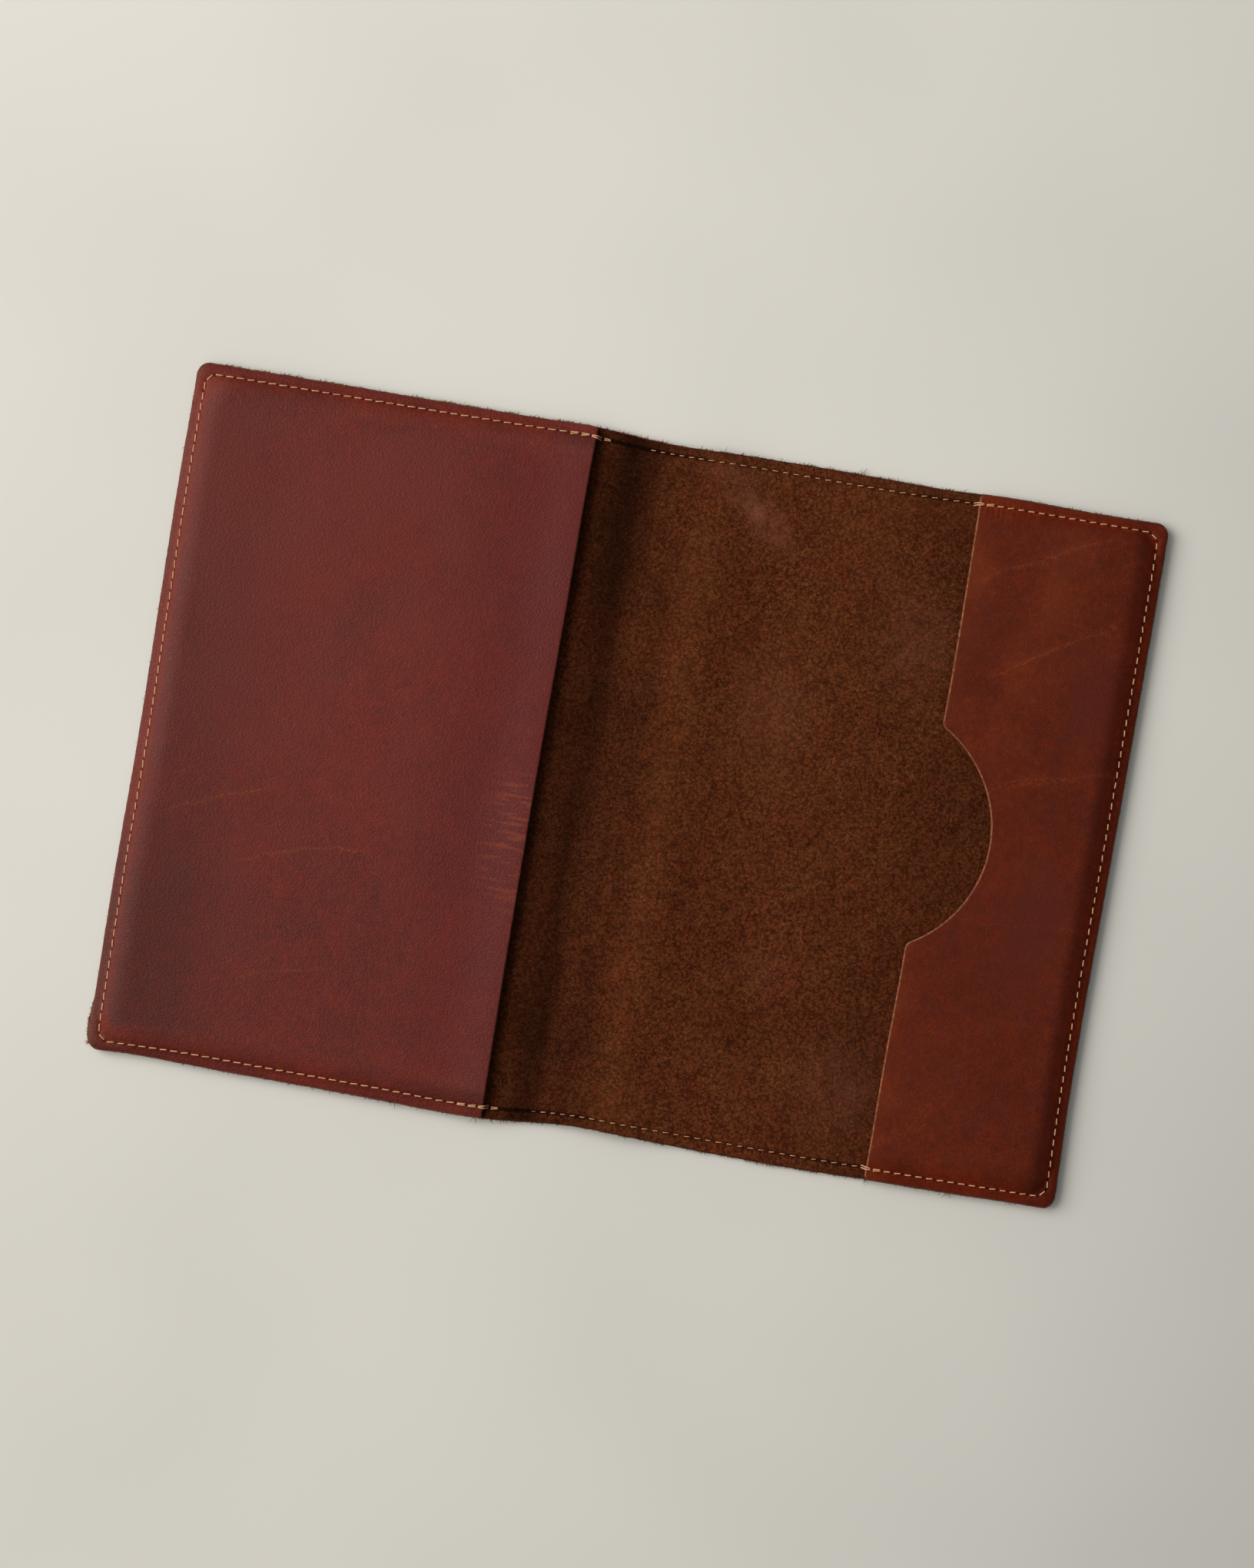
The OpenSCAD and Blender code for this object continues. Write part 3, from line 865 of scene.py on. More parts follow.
def edge_finish(name, base, mouth_tone=None):
    """The cut edge: fibres of the hide, open and uneven, of another tone along a pocket's mouth: abraded on the back
    pocket, and painted darker as shade on the front one.
    """
    f = finish_of(name)
    flat = f.mark("flat")
    fibres = f.noise(f.stretched(flat, (2.6, 2.6, 5.0)), 1.0, 4.0, 0.7, 1.0)
    open_fibres = f.between(fibres, 0.3, 0.7)
    body = f.mix(open_fibres, tone(base, 0.45), tone(base, 1.35))
    final = f.mix(f.between(f.noise(flat, 0.5, 3.0, 0.6), 0.4, 0.7, 0.0, 0.6), body, tone(base, 0.4))
    if mouth_tone:
        x, y = (abs(f.mark("flat", k)) for k in (0, 1))
        by_side, by_end = f.between(x, EDGE_X - 1, EDGE_X - 0.5), f.between(y, EDGE_Y - 0.9, EDGE_Y - 0.4)
        nicks = f.between(f.noise(flat, 1.3, 3.0, 0.65), 0.4, 0.6, 0.75, 0.0)
        mouth = f.mix(nicks, f.mix(open_fibres, tone(mouth_tone, 0.5), tone(mouth_tone, 1.3)), tone(mouth_tone, 0.3))
        final = f.mix(1 - f.math("MAXIMUM", by_side, by_end), final, mouth)
    return f.surface(final, 0.85, fibres, 0.12, 1.0, 0.2)


def thread_finish(name):
    """Waxed thread, a little soiled here and there."""
    f = finish_of(name)
    flat = f.mark("flat")
    base = tuple(colours().thread)
    lint = f.noise(flat, 7.0, 3.0, 0.7)
    body = f.mix(f.between(lint, 0.3, 0.7), tone(base, 0.72), tone(base, 1.12))
    final = f.mix(f.between(f.noise(flat, 0.35, 3.0, 0.6), 0.46, 0.68, 0.0, 0.5), body, (0.36, 0.16, 0.06))
    return f.surface(final, 0.6, lint, 0.04, 0.7, 0.35)


def fibre_finish(name, dark_rgb, light_rgb):
    """Loose fibres of the hide, each of its own tone."""
    f = finish_of(name)
    final = f.mix(f.between(f.mark("flat", 2), 0.0, 1.0), dark_rgb, light_rgb)
    return f.surface(final, 0.85, f.noise(f.mark("flat"), 8.0), 0.01, 0.3, 0.15)


# ---- Threads ----

PLIES = 3
PLY_R, PLY_OUT = 0.6, 0.46  # a ply's radius and its distance from the middle, in thread radii
TURNS_PER_MM = 1.25
STITCH_REACH = 0.86  # length of a stitch with both of its ends, in pitches
STITCH_DIVE = 0.62  # depth to which its ends go into the leather
SLANT = math.radians(5)  # of the stitches to the seam's line


def tubes(paths, across, up, radius, sides=6):
    """Capped tubes along paths (many, steps, 3). Returns points and faces."""
    many, steps = paths.shape[:2]
    angle = 2 * math.pi * np.arange(sides) / sides
    ring = np.cos(angle)[:, None] * across[:, :, None, :] + np.sin(angle)[:, None] * up[:, :, None, :]
    radius = np.broadcast_to(np.reshape(radius, (-1, 1) if np.ndim(radius) < 2 else np.shape(radius)), (many, steps))
    points = paths[:, :, None, :] + ring * radius[:, :, None, None]
    index = np.arange(many * steps * sides).reshape(many, steps, sides)
    nxt = np.roll(index, -1, 2)
    walls = np.stack([index[:, :-1], nxt[:, :-1], nxt[:, 1:], index[:, 1:]], -1).reshape(-1, 4).tolist()
    caps = index[:, 0, ::-1].tolist() + index[:, -1].tolist()
    return points.reshape(-1, 3), walls + caps


def joined(parts):
    """Several (points, faces) as one."""
    points, faces, total = [], [], 0
    for got, some in parts:
        points.append(got)
        faces += [[v + total for v in face] for face in some]
        total += len(got)
    return np.concatenate(points), faces


def twisted(paths, across, up, radius, seed):
    """Thread of a few plies laid along paths."""
    rng = np.random.default_rng(seed)
    gaps = np.linalg.norm(np.diff(paths, axis=1), axis=2)
    length_at = np.concatenate([np.zeros((len(paths), 1)), np.cumsum(gaps, 1)], 1)
    start = rng.uniform(0, 2 * math.pi, (len(paths), 1))
    parts = []
    for ply in range(PLIES):
        angle = start + 2 * math.pi * (length_at * TURNS_PER_MM + ply / PLIES)
        centre = paths + PLY_OUT * radius * (np.cos(angle)[..., None] * across + np.sin(angle)[..., None] * up)
        parts.append(tubes(centre, across, up, PLY_R * radius))
    return joined(parts)


def stitch_paths(spots, surface, downwards, rng, proud, visible, slant=SLANT):
    """Paths of the stitches at spots (x, y, run x, run y, pitch, sink): each rises out of one needle hole and
    dives into the next."""
    spots = np.array(spots, float)
    a = np.linspace(-0.5, 0.5, 11)
    turn = slant + rng.normal(0, math.radians(2.0), len(spots))
    ux = spots[:, 2] * np.cos(turn) - spots[:, 3] * np.sin(turn)
    uy = spots[:, 2] * np.sin(turn) + spots[:, 3] * np.cos(turn)
    reach = a[None, :] * spots[:, 4:5] * STITCH_REACH
    x = spots[:, :1] + ux[:, None] * reach
    y = spots[:, 1:2] + uy[:, None] * reach
    show = visible + rng.normal(0, 0.03, (len(spots), 1))
    dive = rise(show * 0.5, show * 0.5 + 0.2, np.abs(a)[None, :])
    height = proud - spots[:, 5:6] - STITCH_DIVE * dive
    z = surface(x, y) + (-height if downwards else height)
    path = np.stack([x, y, z], -1)
    across = np.stack([-uy, ux, np.zeros_like(ux)], -1)[:, None, :] + np.zeros_like(path)
    up = np.zeros_like(path)
    up[..., 2] = 1
    return path, across, up


def spots_of(runs):
    """Places of the stitches on runs of the seam."""
    out = []
    for (ax, ay), (bx, by), count in runs:
        run = math.dist((ax, ay), (bx, by))
        for k in range(count):
            t = (k + 0.5) / count
            out.append((ax + (bx - ax) * t, ay + (by - ay) * t, (bx - ax) / run, (by - ay) / run, run / count, 0.0))
    return out


def spots_on_spine(side):
    """The stitches over the spine that one half's seam holds."""
    return [s for s in spots_of(spine_runs()) if (s[0] <= 0.5) == (side < 0)]


def sew_inside(side):
    """The seam that shows on the pocket and on the bare suede of one half."""
    size = sizes()
    rng = np.random.default_rng(101 if side < 0 else 102)
    pocket = spots_of(runs_on_pocket(side))
    doubled = 2 if side < 0 else 1
    visible = 0.66 if side < 0 else 0.56
    paths = stitch_paths(pocket[doubled:-doubled], pocket_skin(side), False, rng, 0.13, visible)
    parts = [twisted(*paths, size["thread_r"], 5)]
    suede = []
    for run in runs_on_suede(side):
        suede += spots_of([run])[:-1] if side < 0 else spots_of([run])
    suede += spots_on_spine(side)
    sunk = []
    for x, y, ux, uy, pitch, _ in suede:
        hidden = 0.6 * (1 - rise(-7.5, -6, x)) if y > 0 else 0.3 * (1 - rise(-10, -4, x))
        sunk.append((x, y, ux, uy, pitch, hidden + rng.uniform(-0.02, 0.1)))
    parts.append(twisted(*stitch_paths(sunk, suede_height, False, rng, 0.14, 0.48), size["thread_r"] * 0.68, 6))
    return joined(parts)


def sew_outside(side):
    """The seam that shows on the grain side of one half."""
    size = sizes()
    rng = np.random.default_rng(103 if side < 0 else 104)
    spots = spots_of(runs_outside(side)) + spots_on_spine(side)
    return twisted(*stitch_paths(spots, outer_height, True, rng, -0.02, 0.62), size["thread_r"] * 0.95, 7)


def tack_ends(side):
    """The doubled stitches at both ends of a pocket's mouth."""
    size = sizes()
    rng = np.random.default_rng(105 if side < 0 else 106)
    skin, mouth, reach = pocket_skin(side), mouth_of(side), size["tack_reach"]
    on_pocket = spots_of(runs_on_pocket(side))
    parts = []
    doubled = [on_pocket[0], on_pocket[-1]] + ([on_pocket[1], on_pocket[-2]] if side < 0 else [])
    loose = [spots_of([run])[-1] for run in runs_on_suede(side)] if side < 0 else []
    for spots, surface, proud in ((doubled, skin, 0.18), (loose, suede_height, 0.12)):
        if not spots:
            continue
        for strand in (-0.5, 0.55):
            aside = strand * 0.26
            moved = [(x - uy * aside, y + ux * aside, ux, uy, pitch, 0.0) for x, y, ux, uy, pitch, _ in spots]
            paths = stitch_paths(moved, surface, False, rng, proud, 0.7, SLANT + strand * math.radians(8))
            parts.append(twisted(*paths, size["thread_r"] * 1.05, 8))
    # over the raw edge and down to the suede
    y_seam = EDGE_Y - size["seam_inset"]
    for up_side in (1, -1):
        for strand in (-1, 1):
            start = np.array([mouth + reach * 0.95, up_side * (y_seam + 0.1 * strand)])
            end = np.array([mouth - reach * 0.95, up_side * (y_seam - 0.14 + 0.24 * strand)])
            t = np.linspace(0, 1, 15)
            x = side * (start[0] + (end[0] - start[0]) * t)
            y = start[1] + (end[1] - start[1]) * t + up_side * 0.05 * strand * np.sin(math.pi * t)
            top, low = skin(x, y) + 0.2, suede_height(x, y) + 0.18
            across_lip = rise(mouth - 0.75, mouth - 0.02, np.abs(x))
            z = low + (top - low) * across_lip
            z = z - 0.5 * rise(0.82, 1.0, t) - 0.5 * (1 - rise(0.0, 0.16, t))
            path = np.stack([x, y, z], -1)[None]
            run = np.diff(path[0], axis=0, append=path[:, -1] * 2 - path[:, -2])
            run /= np.linalg.norm(run, axis=1, keepdims=True)
            across = np.cross(np.array([0, 0, 1.0]), run)
            across /= np.linalg.norm(across, axis=1, keepdims=True)
            parts.append(twisted(path, across[None], np.cross(run, across)[None], size["thread_r"] * 1.1, 9 + strand))
    return joined(parts)


# ---- Loose fibres ----


def strand_mesh(name, roots, heading, lengths, radius, lift, shades, rng):
    """Tapered fibres that grow from roots along heading (an angle on the pattern), rising by lift and bending as
    they go."""
    n, steps = len(roots), 4
    bend = rng.normal(0, 0.9, n)
    t = np.linspace(0, 1, steps)[None, :]
    angle = heading[:, None] + bend[:, None] * (t - 0.2)
    gap = lengths[:, None] / (steps - 1)
    x = np.concatenate([np.zeros((n, 1)), np.cumsum(np.cos(angle[:, 1:]) * gap, 1)], 1)
    y = np.concatenate([np.zeros((n, 1)), np.cumsum(np.sin(angle[:, 1:]) * gap, 1)], 1)
    z = lift[:, None] * np.sin(t * math.pi * 0.62) * lengths[:, None]
    path = np.stack([roots[:, :1] + x, roots[:, 1:2] + y, roots[:, 2:3] + z], -1)
    across = np.stack([-np.sin(angle), np.cos(angle), np.zeros_like(angle)], -1)
    up = np.zeros_like(across)
    up[..., 2] = 1
    thick = radius[:, None] * (1 - 0.75 * t)
    points, faces = tubes(path, across, up, thick, 3)
    piece = leather_mesh(name, points, faces, {})
    tones = points.copy()
    tones[:, 2] = np.repeat(shades, steps * 3)
    piece.data.attributes["flat"].data.foreach_set("vector", tones.astype(np.float32).ravel())
    return piece


# ---- Placing by the photograph ----


LEATHERS = ("cover_front", "cover_back", "pocket_front", "pocket_back")


def shown_at(point):
    """Where a point in metres shows in the scaled photograph."""
    camera = bpy.context.scene.camera
    data = camera.data
    x, y, z = camera.matrix_world.inverted() @ Vector(point)
    long_side = max(PHOTO_W, PHOTO_H)
    scale = data.lens / data.sensor_width * long_side / -z
    return (
        PHOTO_W / 2 + x * scale - data.shift_x * long_side,
        PHOTO_H / 2 - y * scale + data.shift_y * long_side,
    )


def flat_places(mesh):
    """The places of a mesh's vertices on the flat pattern."""
    flat = np.zeros(len(mesh.vertices) * 3, np.float32)
    mesh.attributes["flat"].data.foreach_get("vector", flat)
    return flat.reshape(-1, 3)


class Ground:
    """Pieces as one surface, on which the photograph's rays are cast."""

    def __init__(self, *names):
        bpy.context.view_layer.update()
        corners, faces, flat = [], [], []
        total = 0
        for name in names:
            piece = bpy.data.objects[name]
            mesh, world = piece.data, piece.matrix_world
            corners += [world @ v.co for v in mesh.vertices]
            faces += [[v + total for v in p.vertices] for p in mesh.polygons]
            flat.append(flat_places(mesh))
            total += len(mesh.vertices)
        self.tree, self.faces = BVHTree.FromPolygons(corners, faces), faces
        self.corners, self.flat = corners, np.concatenate(flat)

    def under(self, name):
        """The place on the flat pattern under a named image point; a miss takes the place nearest the ray."""
        px, py = IMAGE_POINTS[name]
        camera = bpy.context.scene.camera
        data = camera.data
        long_side = max(PHOTO_W, PHOTO_H)
        ray = Vector((
            px - PHOTO_W / 2 + data.shift_x * long_side,
            PHOTO_H / 2 - py + data.shift_y * long_side,
            -long_side * data.lens / data.sensor_width,
        ))
        world = camera.matrix_world
        origin, ray = world.translation, (world.to_3x3() @ ray).normalized()
        hit, _, index, _ = self.tree.ray_cast(origin, ray)
        if hit is None:
            along_ray = [origin + ray * (world.translation.z / -ray.z) * (k / 400) for k in range(380, 401)]
            hit, _, index, _ = min((self.tree.find_nearest(p) for p in along_ray), key=lambda found: found[3])
        near = self.faces[index]
        away = np.array([(self.corners[v] - hit).length for v in near]) + 1e-9
        return (self.flat[near] / away[:, None]).sum(0) / (1 / away).sum()


# ---- Wear, and painted light and shade ----


def blots(x, y, *places):
    """Soft spots: places are (strength, x, reach along x, y, reach along y)."""
    return sum(w * bell(x - a, r) * bell(y - b, s) for w, a, r, b, s in places)


def polyline_distance(x, y, path):
    best = np.full_like(x, 99.0)
    for (ax, ay), (bx, by) in zip(path, path[1:]):
        run = math.dist((ax, ay), (bx, by)) or 1e-9
        t = np.clip(((x - ax) * (bx - ax) + (y - ay) * (by - ay)) / run**2, 0, 1)
        best = np.minimum(best, np.hypot(x - ax - t * (bx - ax), y - ay - t * (by - ay)))
    return best


def line_marks(x, y, paths, dim):
    """Distance to the nearest of a few lines that run across, which changes sign only where one is crossed, that line's
    strength, fading towards its ends, and how much painted shade darkens the leather, or below 0 how much redder it is."""
    nearest, weight, above = np.full_like(x, 99.0), np.zeros_like(x), np.zeros_like(x)
    for strength, path in paths:
        at, level = zip(*path)
        above += y > np.interp(x, at, level)
        far = polyline_distance(x, y, path)
        taper = rise(at[0] - 1, at[0] + 3, x) * (1 - rise(at[-1] - 3, at[-1] + 1, x))
        weight = np.where(far < nearest, strength * taper, weight)
        nearest = np.minimum(nearest, far)
    return nearest * (1 - 2 * (above % 2)), weight, dim


def write_marks(name, key, paint):
    """Gives a piece one kind of mark, from paint(x, y) on the flat pattern."""
    mesh = bpy.data.objects[name].data
    flat = flat_places(mesh).astype(float)
    marks = np.stack(paint(flat[:, 0], flat[:, 1]), -1)
    mesh.attributes[key].data.foreach_set("vector", marks.astype(np.float32).ravel())


# The veins that can be told apart: strength and path.
FRONT_VEINS = (
    (0.5, [(-77.2, -28.7), (-70.4, -25.8), (-62.5, -23.4), (-55.4, -22), (-49.2, -21.6)]),
    (0.55, [(-92.2, -20.2), (-82.4, -16.5), (-70.6, -12.2)]),
    (0.45, [(-73.4, -51.5), (-64.6, -48.6), (-54.5, -46.5)]),
    (0.4, [(-74, 5), (-71.5, 1.5), (-70, 3)]),
)
BACK_VEINS = (
    (0.3, [(62, 52), (66, 54.5), (71, 56.5), (75, 58.5), (80, 61.5), (85, 63.8), (90, 65.5)]),
    (0.12, [(62, 44), (68, 46.5), (74, 47)]),
    (0.36, [(67, 33), (70, 34.5), (75, 37.3), (78, 39.3), (81, 41.5), (85, 44), (90, 46.5), (94, 48)]),
    (0.12, [(64, 24), (72, 27), (79, 28)]),
    (0.4, [(71, 10.8), (76, 12.8), (80, 14), (87, 16), (93, 17.2), (98.5, 17.5)]),
    (0.3, [(70, -15.8), (76, -15.8), (83, -15), (90, -14.3), (96, -14)]),
    (0.1, [(78, -36), (86, -34.5), (92, -35)]),
)
LONG_VEIN = [(74, 2.8), (80, 4.3), (85, 6.2), (90, 8), (96, 9.8)]  # the back pocket's, which an image point places
LONG_VEIN_Y = 6.6  # its height at that point
FRONT_SPOTS = (  # x, y, radius and strength
    (-44, 60.5, 1.3, 0.35), (-63, 41, 0.8, 0.4), (-51, 28, 0.8, 0.4), (-42.5, 29, 0.9, 0.4), (-82, 34, 0.5, 0.4),
    (-24, 19, 0.8, 0.2), (-76, 60, 1.6, 0.25),
)


def front_wear_and_painted_light(x, y):
    """The front pocket's rubbed places, with a painted highlight on its left border; its folds, which wrinkle below 0;
    and its painted shade and dark spots, which below 0 give way to a paler, bluer tone, partly wax blooming, partly
    painted sheen.
    """
    edge, far = np.maximum(from_edge(x, y, 8.0), 0), np.abs(y)
    # A painted highlight along the left border, which faces the light, given in the lighter pull-up tone.
    rub_and_painted_highlight = 0.2 * rise(91.5, 96, -x) * (0.35 + 0.65 * rise(-40, 60, y)) * rise(0.2, 1.5, edge)
    rub_and_painted_highlight = rub_and_painted_highlight + 0.08 * bell(edge - 0.4, 0.7) + 0.1 * bell(x - FRONT_MOUTH, 2.0)
    rub_and_painted_highlight = rub_and_painted_highlight + 0.08 * rise(-55, -24, x) * rise(-0.3, 0.7, mottle(x, y, 19, 74)) * (0.6 + 0.4 * rise(-40, 20, -y))
    rub_and_painted_highlight = rub_and_painted_highlight + blots(x, y, (0.12, -60, 22, 20, 22)) * rise(-0.2, 0.8, mottle(x, y, 7, 75))
    rub_and_painted_highlight = rub_and_painted_highlight + 0.14 * band(62, 65, 67, 68, far)
    rub_and_painted_highlight = rub_and_painted_highlight + blots(x, y, (0.2, -62, 12, 64.5, 1.6)) * rise(-0.4, 0.6, mottle(x, y, 3, 70))
    fold = -0.7 * bell(x + 21.5, 4) * bell(y + 6, 5) - 0.75 * rise(-33, -22, x) * bell(y + 18, 13)
    shadow = 0.34 * band(62.5, 66.5, 67.6, 68.6, far) * rise(-92, -78, x) * (0.75 + 0.5 * mottle(x, y, 9, 78))
    spots = sum(w * bell(np.hypot(x - a, y - b), r) for a, b, r, w in FRONT_SPOTS)
    # Painted shade along the top and bottom seams and towards the mouth, dark spots, and a darker place at the upper
    # left.
    dark = shadow + spots + 0.4 * rise(-44, -19, x) + 0.12 * bell(x + 72, 14) * rise(40, 60, y)
    # A paler, bluer tone, partly wax blooming, partly painted sheen: strongest at the left, less towards the bottom,
    # and none by the mouth or the seams.
    cool = 0.5 + 0.3 * bell(x + 86, 16) + 0.45 * mottle(x, y, 24, 72) + 0.3 * mottle(x, y, 8, 79)
    cool = cool - 1.1 * rise(-50, -22, x) - 0.25 * rise(10, 60, -y)
    return rub_and_painted_highlight, fold, np.clip(dark, 0, 1) - np.clip(cool, 0, 1) * (1 - rise(60, 65, far))


def lines_front(x, y):
    """The front pocket's thin veins, and painted shade over its left slope and plateau; it is also darker towards the
    bottom and at the lower left edge, and redder towards the mouth.
    """
    # Painted shade over the left slope and plateau, beside the lit left border.
    lee = 0.13 + 0.07 * rise(-50, -10, -y) + 0.2 * rise(5, 45, -y)
    dim = lee * band(-98, -94, -88, -70, x) * (1 - 0.5 * rise(62, 66, -y))
    dim = dim + 0.1 * rise(15, 50, -y) * rise(-84, -70, x)
    dim = dim - 0.5 * rise(-48, -22, x) * (1 - rise(60, 66, np.abs(y)))
    dim = dim + 0.3 * rise(10, 40, -y) * rise(96.5, 98, -x)
    return line_marks(x, y + 0.3 * mottle(x, y, 2.5, 76), FRONT_VEINS, dim)


def lines_back(x, y, vein):
    """The back pocket's thin veins, and painted shade along its right slope. vein is where one of the long veins
    crosses, from its image point.
    """
    shift = vein[1] - LONG_VEIN_Y
    wave = 0.45 * mottle(x, y, 3.0, 81) + 0.2 * mottle(x, y, 1.1, 85)
    veins = BACK_VEINS[:5] + ((0.34, [(at, level + shift) for at, level in LONG_VEIN]),) + BACK_VEINS[5:]
    return line_marks(x, y + wave, veins, 0.36 * bell(x - 95, 1.6) * (0.65 + 0.35 * bell(y + 10, 40)))


def back_wear_and_painted_light(x, y):
    """The back pocket's rubbed places, with a painted highlight beside a dent; its scratches and puckers; and its
    painted shade, which below 0 gives way to a paler, bluer tone, partly wax blooming, partly painted sheen.
    """
    edge = np.maximum(from_edge(x, y, 8.0), 0)
    warm = blots(x, y, (0.26, 79, 9, 48, 17), (0.22, 72, 7, 26, 13), (0.2, 72, 11, -52, 14))
    warm = warm + 0.12 * rise(30, 60, y) + 0.15 * (1 - rise(63, 70, x))
    rub_and_painted_highlight = warm * (0.8 + 0.5 * mottle(x, y, 5, 84)) + 0.1 * bell(edge - 0.5, 1.0) + 0.14 * bell(x - BACK_MOUTH, 2.5)
    # The lighter side of a dent: a painted highlight.
    rub_and_painted_highlight = rub_and_painted_highlight + blots(x, y, (0.2, 79.5, 1.6, 65, 1.2))
    scratches = 0
    for k in range(7):
        y0 = -63.5 + 1.05 * k
        path = [(61 + 0.8 * k, y0), (66 + 0.6 * k, y0 + 2.5), (71 + 0.3 * k, y0 + 5.4)]
        scratches = scratches + (0.5 - 0.05 * k) * bell(polyline_distance(x, y, path), 0.13)
    puckers = blots(x, y, (0.5, 65, 5, 67, 2.6)) * (0.5 + 0.5 * np.sin(5.8 * x + mottle(x, y, 2, 86)))
    shadow = 0.3 * band(93.6, 95, 97, 98.4, x) + blots(x, y, (0.5, 82, 1.0, 64.5, 0.9))
    shadow = shadow + 0.3 * band(63.5, 66, 67.5, 68.5, -y)
    # A paler, bluer tone in a few places, partly wax blooming, partly painted sheen.
    bloom_and_painted_sheen = blots(x, y, (0.3, 64.5, 4, 38, 16), (0.7, 89, 5, 33, 14), (0.6, 87, 7, -14, 14), (0.4, 78, 10, -34, 12))
    return rub_and_painted_highlight, scratches + puckers, np.clip(shadow, 0, 1) - np.clip(bloom_and_painted_sheen + 0.25 * mottle(x, y, 12, 83), 0, 1)


# Painted shadow and shade on the suede, from the front pocket's mouth to the back pocket: the shadow that the mouth
# casts across the fold, and darker again towards the back pocket.
SUEDE_PAINTED_SHADOW = along([
    (-18, 0.45), (-16, 0.54), (-14, 0.7), (-12, 0.82), (-10, 0.86), (-9, 0.85), (-8, 0.8), (-7, 0.74), (-6, 0.68),
    (-4, 0.6), (-2, 0.56), (0, 0.5), (2, 0.42), (4, 0.32), (6, 0.14), (8, 0.04), (10, 0.1), (12, 0.09), (18, 0.08),
    (30, 0.08), (48, 0.24), (62, 0.44), (75, 0.52),
])
SUEDE_SCRATCHES = (
    [(41, 0), (40, -3), (38, -6)], [(38.5, -31), (41, -33.2), (44, -35.2)], [(34, 3), (40, 0.5)],
)
PATCH_TURN = (0.78, 0.62)  # cosine and sine of the brushed patch's slope


def suede_wear_and_painted_light(x, y, patch):
    """The suede's brushed places, its warm places with a painted highlight along the crest of the bow, and its dark
    places, most of them painted shadow and shade. patch is the middle of the brushed patch, from its image point.
    """
    cosine, sine = PATCH_TURN
    along_patch = (x - patch[0]) * cosine - (y - patch[1]) * sine
    over_patch = (x - patch[0]) * sine + (y - patch[1]) * cosine
    brushed = 0.9 * bell(along_patch, 7.5) * bell(over_patch - 0.25 * mottle(x, y, 4, 94), 3.0)
    brushed = brushed + blots(
        x, y, (0.5, 53, 6, 38, 9), (0.5, 52, 8, -53, 8), (0.3, 26, 7, 20, 9), (0.25, 33, 4, -32, 4), (0.3, 10, 6, 66, 2)
    )
    brushed = brushed * (0.75 + 0.35 * mottle(x, y, 2.0, 91) + 0.25 * mottle(x, y, 0.7, 95))
    # A painted highlight along the crest of the bow over the spine, which warms the suede.
    painted_ridge_highlight = 0.4 * bell(x - 7, 4.0) + 0.25 * rise(62, 68, y) + 0.15 * bell(x + 14, 2)
    painted_ridge_highlight = painted_ridge_highlight + 0.3 * bell(x - 14 - 0.6 * y, 14) * rise(-10, 60, y)
    warm = painted_ridge_highlight + 0.2 * mottle(x, y, 14, 92) + 0.12 * mottle(x, y, 4, 98)
    # The darkness across the fold is painted shadow: the front pocket's mouth shades the suede, most of all right by
    # the mouth.
    fold = SUEDE_PAINTED_SHADOW(x - 0.5 * mottle(y, y * 0, 14, 96)) * (1 + 0.1 * mottle(y, y * 0 + 3, 15, 97))
    fold = fold + 0.25 * bell(x - FRONT_MOUTH, 1.6) + 0.08 * bell(x - 1, 6) * rise(-5, 25, -y)
    streaks = 0.09 * mottle(2.6 * x, 0.2 * y, 5, 90) * (0.35 + bell(x + 4, 16))
    scratches = sum(0.5 * bell(polyline_distance(x, y, path), 0.22) for path in SUEDE_SCRATCHES)
    dark = fold + streaks + scratches + 0.12 * rise(66, 70, np.abs(y))
    dark = dark + blots(x, y, (0.16, 52, 9, -38, 22), (-0.4, 14, 6, 58, 7), (0.3, 24, 5, -25, 7), (0.25, 31, 7, -44, 9))
    dark = dark + (1 - 0.85 * fold) * (0.12 * mottle(x, y, 9, 93) + 0.1 * mottle(x, y, 3, 99))
    return np.clip(brushed, 0, 1), np.clip(warm, 0, 1), np.clip(dark, 0, 1)


# ---- Operators ----

HALVES = ((-1, "front_half", "front"), (1, "back_half", "back"))
POCKET_LOOKS = (  # blooming colour, partly painted sheen, depth of the pebbles, gloss and tone of the cut edge, for the front and the back
    ((0.129, 0.0144, 0.0068), 1.0, 0.26, 0.5),
    ((0.086, 0.0142, 0.0076), 0.7, 0.09, 0.4),
)
FRONT_MOUTH_EDGE_PAINTED_SHADE = (0.075, 0.024, 0.0075)  # the front mouth's cut edge, painted darker than the raw edge as shade, since it faces away from the light


def finished(piece, body, slot_name, *nodes, blend_to=None):
    """Seats a piece on its body, or given blend_to only bakes its place into its mesh, and hides the CAD nodes that it
    stands for.
    """
    if blend_to:
        side = -1 if body == "front_half" else 1
        side * (2 * CREASE_X - 0.4) * MM
        side * 0.4 * MM
        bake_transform(piece)
    else:
        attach(piece, body)
    if nodes:
        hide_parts(*nodes)


def dress(piece, *materials):
    for material in materials:
        piece.data.materials.append(material)


